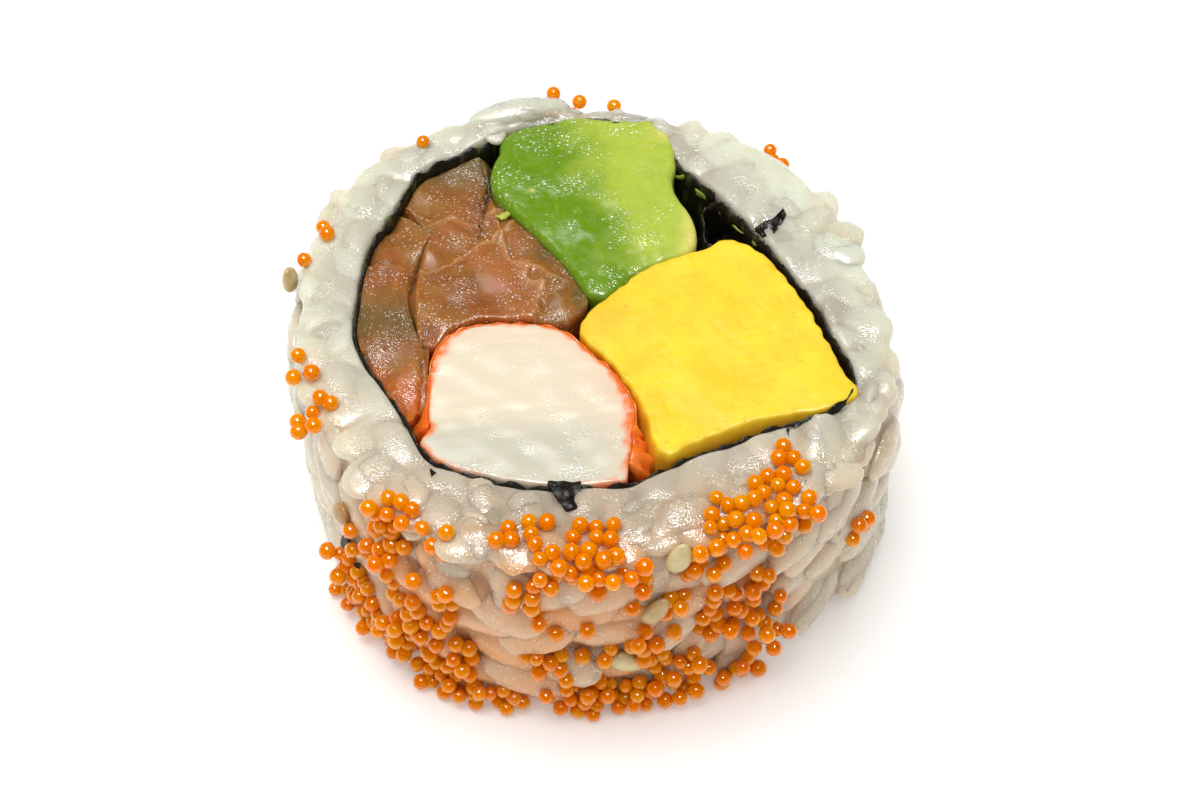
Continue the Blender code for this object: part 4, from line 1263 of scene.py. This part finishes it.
avocadoShape = {
    "centre": (0.4, 11.5), "grow": 0.13, "grid": 101, "crowd": 0.25, "round": 0.6, "wallRows": 8,
    "wallWave": 0.04, "dome": 0.40, "lumps": 0.09, "lip": 0.8, "lobe": 2.4,
    "curl": ((-7.6, 10.6), (-6.9, 11.1), (-6.1, 11.8), (-5.3, 12.6), (-4.6, 13.2), (-4.0, 13.4)),
    "curlWide": 0.42,
    # smears on the nori of the gap: angle, height and half sizes
    "crumbs": ((56, 18.3, (0.8, 0.35, 0.12)), (47, 18.0, (0.5, 0.25, 0.1)), (39, 18.4, (0.7, 0.2, 0.1)),
               (31, 18.6, (0.4, 0.25, 0.1)), (64, 18.6, (0.7, 0.3, 0.15))),
    "dark": (0.135, 0.265, 0.006), "light": (0.42, 0.52, 0.060), "yellow": (0.68, 0.63, 0.15),
    "fleck": (0.58, 0.70, 0.18),
}


def avocadoTop(flat, depth):
    # a low dome with soft lumps, and a slight ridge towards its right side
    plan = avocadoShape
    lumps = plan["lumps"] * waves(flat, 5.5, 12, 51) + 0.02 * waves(flat, 1.3, 16, 52)
    ridge = 0.25 * hump(flat[:, 0] - (1.0 + 0.35 * (16 - flat[:, 1])), 0, 1.6) * ease(flat[:, 1], 5, 9)
    return rollHeight + 0.15 + plan["dome"] * (1 - np.exp(-depth / 2.5)) + lumps + ridge


def avocadoOverhang(flat, depth):
    # the upper edge is smeared outwards over the nori at the back, furthest in one lobe
    r = np.linalg.norm(flat, axis=1)
    turn = bearing(flat[:, 0], flat[:, 1])
    back = ease(turn, 70, 78) * (1 - ease(turn, 106, 112))
    amount = avocadoShape["lip"] * back + avocadoShape["lobe"] * hump(turn, 73, 4.5)
    return flat / r[:, None] * (amount * np.exp(-depth / 0.9) * ease(flat[:, 1], 13, 17))[:, None]


def avocadoTones(points, depth):
    # light towards the right and the back, yellow along the right edge and in the lobe at the back
    x, y = points[:, 0], points[:, 1]
    light = ease(x + 0.35 * (y - 11) + 0.8 * waves(points[:, :2], 6.0, 8, 53), -1.5, 5.5)
    yellow = ease(x - 0.12 * (y - 9), 6.9, 8.8) * (1 - ease(y, 15, 17))
    yellow += hump(x, 7.0, 1.3) * ease(y, 18.3, 20.0)
    return {"light": light, "yellow": np.clip(yellow, 0, 1)}


def makeAvocadoMaterial(shape):
    # dark to light green, yellow along the right edge, with pale flecks and patches of painted glints
    material, tree, shader = newMaterial("avocado")
    light = sums(tree, "ADD", tone(tree, "light"), cloud(tree, 2.2, 4, 0.3, 0.7, -0.15, 0.15))
    colour = mixed(tree, light, shape["dark"], shape["light"])
    colour = tinted(tree, colour, "yellow", shape["yellow"])
    colour = mixed(tree, cloud(tree, 0.6, 3, 0.62, 0.75, 0.0, 0.3), colour, shape["fleck"])
    rough = cloud(tree, 0.7, 3, 0.35, 0.65, 0.16, 0.45)
    patches = cloud(tree, 2.6, 1, 0.50, 0.62, 0.03, 1.0)
    colour = withPaintedGlints(tree, colour, 0.40, patches, 0.8)
    bumps(tree, shader, ((noise(tree, 0.8, detail=2), 0.05), (noise(tree, 0.16, detail=0), 0.08, patches)))
    wetFood(tree, shader, colour, rough, 0.35, (0.6, 1.0, 0.2), 1.4, 0.3, 0.08)
    return material


def makeAvocado(shape, material):
    # a filling whose upper edge spreads over the nori at the back
    outline = outlineOf("avocado", shape["centre"], shape["grow"])
    makeFilling("avocadoFlesh", outline, shape, avocadoTop, material, "avocado", avocadoTones,
                avocadoOverhang)


def makeAvocadoCurl(shape, material):
    # a shred of flesh: an uneven oval carried along a line that lies on the fish and rises towards its end
    line = curveThrough(shape["curl"], 0.12)
    share = np.linspace(0, 1, len(line))
    width = shape["curlWide"] * np.sqrt(np.clip(1 - (2 * share - 1) ** 4, 0.01, 1))
    width *= 1 + 0.2 * waves(line, 1.0, 6, 55)
    _, side = walkedAlong(line)
    around = 10
    turn = 2 * np.pi * np.arange(around) / around
    height = fishTop(line) + 0.15 + 0.75 * ease(share, 0.1, 0.7)
    flat = line[:, None] + side[:, None] * (width[:, None] * np.cos(turn))[..., None]
    rings = np.concatenate([flat, (height[:, None] + 0.5 * width[:, None] * np.sin(turn))[..., None]], -1)
    first = np.arange(around)
    ends = [first[None, ::-1], (first + (len(line) - 1) * around)[None]]
    quads = gridFaces(len(line), around, wrapColumns=True)
    points = rings.reshape(-1, 3)
    pale = {"light": np.full(len(points), 0.9), "yellow": np.full(len(points), 0.15)}
    makePiece("avocadoCurl", points, [quads, *ends], material, "avocado", pale)


def makeAvocadoCrumbs(shape, material):
    # flat drops with uneven faces on the nori of the gap
    body, bodyFaces = roundedShape(8, 5, lambda x: np.sqrt(1 - x**2))
    angle, height = np.array([crumb[:2] for crumb in shape["crumbs"]]).T
    places = roundAbout(angle, holeRadius(angle) - 0.36, height)
    axes = grainFrames(places, -tipped(angle, 0), np.linspace(-30, 40, len(angle)))
    sizes = np.array([size for *_, size in shape["crumbs"]])
    crumbs, crumbFaces = copiesOf(body, bodyFaces, places, axes, sizes)
    crumbs += 0.08 * wobble(crumbs, 0.9, 8, (56, 57, 58))
    olive = {"light": np.full(len(crumbs), 0.05), "yellow": np.full(len(crumbs), 0.12)}
    makePiece("avocadoCrumbs", crumbs, crumbFaces, material, "avocado", olive)


avocadoMaterial = makeAvocadoMaterial(avocadoShape)
makeAvocado(avocadoShape, avocadoMaterial)
makeAvocadoCurl(avocadoShape, avocadoMaterial)
makeAvocadoCrumbs(avocadoShape, avocadoMaterial)
print("avocado made")


# Crab stick

crabShape = {
    "centre": (-4.4, -9.0), "grow": 0.28, "grid": 101, "crowd": 0.2, "round": 0.22, "wallRows": 6,
    "wallWave": 0.02, "layers": 0.012, "skinThick": 0.22, "skinShift": 0.10, "skinRows": 14,
    "skinFlare": 1.6, "leftFlare": 1.1,  # how far the layer leans out, beside the egg and beside the fish
    "white": (0.76, 0.66, 0.49), "pale": (0.72, 0.64, 0.50), "lowWhite": (0.56, 0.54, 0.43),
    "red": (0.86, 0.17, 0.02), "blush": (0.82, 0.50, 0.36),
    "skinDeep": (0.70, 0.09, 0.003), "skinLight": (0.88, 0.24, 0.02),
}


def crabTop(flat, depth):
    # nearly flat, with faint layers that run from side to side
    x, y = flat.T
    layers = np.sin((y - 0.12 * x + 0.5 * waves(flat, 9.0, 6, 71)) * 2 * np.pi / 1.5)
    return (rollHeight + 0.15 + 0.2 * (1 - np.exp(-depth / 2)) + crabShape["layers"] * layers
            + 0.06 * waves(flat, 3.0, 10, 72))


def crabTones(points, depth):
    # red comes through along the covered edges: back, left and right, and a trace at the front
    x, y, _ = points.T
    front = ease(-y, 12.0, 15.0) * hump(x, -5, 7)
    ragged = (0.34 + 0.26 * waves(points[:, :2], 1.6, 12, 73) + 1.1 * ease(x, 1.0, 3.6) * hump(y, -9.5, 4)
              + 0.9 * hump(y, -4.2, 1.4) * ease(-x, 9, 11.5))
    red = (1 - ease(depth, 0.02, np.clip(ragged, 0.10, 1.8) + 0.15)) * (1 - 0.9 * front)
    blush = ease(x + 0.4 * (y + 9), -1.5, 4.5) * 0.45 + 0.16 * ease(y, -6, -2)
    return {"red": red, "blush": blush, "low": ease(-y, 9.5, 13.5) * (1 - 0.6 * ease(x, -1, 3))}


def skinPath(shape):
    # the middle line of the CAD layer: mean distances from the stick's middle, bearing by bearing from +Y
    corners = lowCorners("crab_skin")
    centre = np.array(shape["centre"])
    found = bearing(corners[:, 1] - centre[1], corners[:, 0] - centre[0])
    far = np.linalg.norm(corners - centre, axis=1)
    turn = np.linspace(found.min() + 0.5, found.max() - 0.5, 190)
    middle = np.array([far[np.abs(found - t) < 6.0].mean() for t in turn]) + shape["skinShift"]
    return turn, smoothed(middle, 5)


def makeCrabMaterial(shape):
    # white with fibres, then the tones, painted glints in patches, and light that soaks in
    material, tree, shader = newMaterial("crabWhite")
    fibres = noise(tree, 0.8, detail=4, stretch=(0.25, 2.2, 1))
    colour = mixed(tree, remap(tree, fibres, 0.3, 0.7), shape["pale"], shape["white"])
    colour = tinted(tree, colour, "blush", shape["blush"])
    colour = tinted(tree, colour, "low", shape["lowWhite"])
    colour = tinted(tree, colour, "red", shape["red"], cloud(tree, 0.7, 4, 0.3, 0.6, 0.55, 1.3))
    patches = cloud(tree, 2.4, 1, 0.5, 0.64, 0.05, 1.0)
    colour = withPaintedGlints(tree, colour, 0.36, patches, 0.6)
    bumps(tree, shader, ((fibres, 0.02), (noise(tree, 0.15, detail=0), 0.06, patches)))
    wetFood(tree, shader, colour, 0.32, 0.45, (1.0, 0.8, 0.6), 1.2, 0.3, 0.10)
    return material


def makeCrab(shape, material):
    # the outline is moved out to the red layer wherever that covers it
    centre = np.array(shape["centre"])
    away = outlineOf("crab_stick", shape["centre"], shape["grow"]) - centre
    far = np.linalg.norm(away, axis=1)
    own = bearing(away[:, 1], away[:, 0])
    turn, middle = skinPath(shape)
    covered = ease(own, turn[0], turn[0] + 4) * (1 - ease(own, turn[-1] - 4, turn[-1]))
    full = np.interp(own, turn, middle) - shape["skinThick"] / 2 + 0.03
    outline = centre + away * (1 + covered * (full / far - 1))[:, None]
    makeFilling("crabMeat", outline, shape, crabTop, material, "crab_stick", crabTones)


def makeCrabSkin(shape):
    # follows the CAD layer's middle line; its upper edge is ragged, its faces swell a little, and at both
    # ends its outer face leans out below the edge, towards the egg and towards the fish
    turn, middle = skinPath(shape)
    ahead = np.stack([np.sin(np.radians(turn)), np.cos(np.radians(turn))], 1)
    path = np.array(shape["centre"]) + middle[:, None] * ahead
    walked, side = walkedAlong(path)
    rim = rollHeight + 0.02 + 0.09 * waves(walked[:, None], 1.6, 8, 81)
    level = np.linspace(0, 1, shape["skinRows"])[:, None] ** 0.6
    z = 0.3 + (rim - 0.3)[None] * level
    swell = 1 + 0.2 * waves(walked[:, None], 2.5, 6, 82)
    half = shape["skinThick"] / 2 * (1 - 0.45 * ease(level, 0.95, 1.0)) * swell[None]
    folds = 1 + 0.35 * waves(walked[:, None], 1.1, 8, 83)
    leaning = shape["skinFlare"] * ease(turn, 98, 126) + shape["leftFlare"] * ease(-turn, 84, 112)
    flare = (leaning * folds)[None] * ease(rollHeight - z, -0.1, 1.0)
    sides = []
    for sign, lean in ((1, flare), (-1, 0)):
        shift = sign * (half + lean)
        sides.append(np.concatenate([path[None] + side[None] * shift[..., None], z[..., None]], -1))
    rows = np.concatenate([sides[1], sides[0][::-1]])
    faces = loopFaces(*rows.shape[:2])
    material, tree, shader = newMaterial("crabRed")
    colour = mixed(tree, cloud(tree, 1.1, 3, 0.3, 0.7), shape["skinDeep"], shape["skinLight"])
    bumps(tree, shader, ((noise(tree, 0.9, detail=3, stretch=(1, 1, 0.4)), 0.10),))
    wetFood(tree, shader, colour, 0.32, 0.4, (1.0, 0.3, 0.1), 1.0, 0.2, 0.12)
    makePiece("crabSkin", rows.reshape(-1, 3), faces, material, "crab_skin", {})


makeCrab(crabShape, makeCrabMaterial(crabShape))
makeCrabSkin(crabShape)
print("crab stick made")


# Egg

eggShape = {
    "centre": (10.0, -3.2), "grow": 0.16, "grid": 121, "crowd": 0.2, "round": 0.32, "wallRows": 8,
    "wallWave": 0.03, "pits": 60, "pitSize": (0.14, 0.36), "pitDepth": 0.07, "seed": 9, "skirt": 0.9,
    "band": 0.75,  # how much of the front wall shows beyond the edge
    "pressed": (-6.0, -9.5), "rough": 0.07,  # from where to where it comes to lie against the nori, in y
    "corners": (((5.6, -14.3), 2.0), ((-0.6, -1.5), 1.2), ((20.8, -8.3), 1.2)),  # place and spread
    "yellow": (0.84, 0.66, 0.022), "deep": (0.82, 0.56, 0.015), "pore": (0.74, 0.40, 0.006),
    # wall is browned, and darker than the edge as painted shade
    "edge": (0.76, 0.42, 0.010), "wall": (0.66, 0.31, 0.008),
}


def eggTop(flat, depth):
    # almost flat, with slow waves and small pits where bubbles were
    plan = eggShape
    rng = np.random.default_rng(plan["seed"])
    middles = rng.uniform(flat.min(0), flat.max(0), (plan["pits"], 2))
    sizes = rng.uniform(*plan["pitSize"], plan["pits"]) * np.where(rng.random(plan["pits"]) < 0.7, 0.6, 1)
    squash = np.stack([0 * sizes + 1.0, rng.uniform(0.5, 1, len(sizes))], 1)
    away = np.linalg.norm((flat[:, None] - middles[None]) * squash[None], axis=2)
    pits = np.exp(-((away / sizes) ** 2)).max(1)
    return (rollHeight + 0.45 + 0.07 * waves(flat, 6.0, 8, 91) + 0.012 * waves(flat, 1.2, 14, 92)
            - plan["pitDepth"] * pits)


def eggTones(points, depth):
    # browned in a ragged line along the edge and at the back left corner, darker on the wall
    x, y, z = points.T
    browned = 1 - ease(depth + 0.30 * waves(points[:, :2], 1.3, 10, 93), 0.0, 0.55)
    corner = hump(x, 1.0, 2.4) * hump(y, -0.5, 3.0)
    # the wall's darker tone is browning with painted shade on the upright face
    wall = 1 - ease(z, rollHeight - 0.3, rollHeight + 0.35)
    return {"edge": np.clip(0.4 * browned + 0.5 * corner, 0, 1), "wall": wall}


def eggSkirt(places, below):
    # at the front left, beside the crab stick, and all along the front the wall leans out as it goes down
    x, y = places.T
    left = eggShape["skirt"] * ease(-y, 7.0, 10.0) * (1 - ease(x, 5.4, 7.0)) * ease(below, 0.2, 1.6)
    return left + eggShape["band"] * eggFront(x, y) * ease(below, 0.1, 1.0)


def eggFront(x, y):
    # the front edge between its two corners
    return ease(-y, 8.0, 10.0) * ease(x, 5.8, 7.5) * (1 - ease(x, 16.0, 19.0))


def makeEggMaterial(shape):
    # two yellows in clouds, patches of small pores, then a browned edge, and a wall browned with painted
    # shade
    material, tree, shader = newMaterial("egg")
    colour = mixed(tree, cloud(tree, 2.6, 4, 0.35, 0.68), shape["deep"], shape["yellow"])
    pores = remap(tree, cells(tree, 1.1), 0.02, 0.20, 1.0, 0.0)
    pores = sums(tree, "MULTIPLY", pores, cloud(tree, 1.6, 2, 0.52, 0.62))
    colour = mixed(tree, sums(tree, "MULTIPLY", pores, 0.8), colour, shape["pore"])
    colour = tinted(tree, colour, "edge", shape["edge"])
    colour = tinted(tree, colour, "wall", shape["wall"])
    rough = cloud(tree, 0.8, 3, 0.3, 0.7, 0.38, 0.55)
    sunken = remap(tree, pores, 0.0, 1.0, 1.0, 0.0)
    bumps(tree, shader, ((sunken, 0.05), (noise(tree, 0.30, detail=2), 0.02)))
    wetFood(tree, shader, colour, rough, 0.35, (1.0, 0.6, 0.1), 1.5, 0.08, 0.2)
    return material


def makeEgg(shape, material):
    # a block with drawn-out corners and a slightly uneven edge; the front edge is set back by the band
    outline = outlineOf("egg", shape["centre"], shape["grow"], shape["pressed"])
    for target, spread in shape["corners"]:
        outline = pulledTo(outline, target, spread)
    x, y = outline.T
    outline = outline * (1 - shape["band"] * eggFront(x, y) / np.hypot(x, y))[:, None]
    outline = outline + shape["rough"] * wobble(outline, 1.6, 10, (95, 96))
    makeFilling("eggBlock", outline, shape, eggTop, material, "egg", eggTones, skirt=eggSkirt)


makeEgg(eggShape, makeEggMaterial(eggShape))
print("egg made")
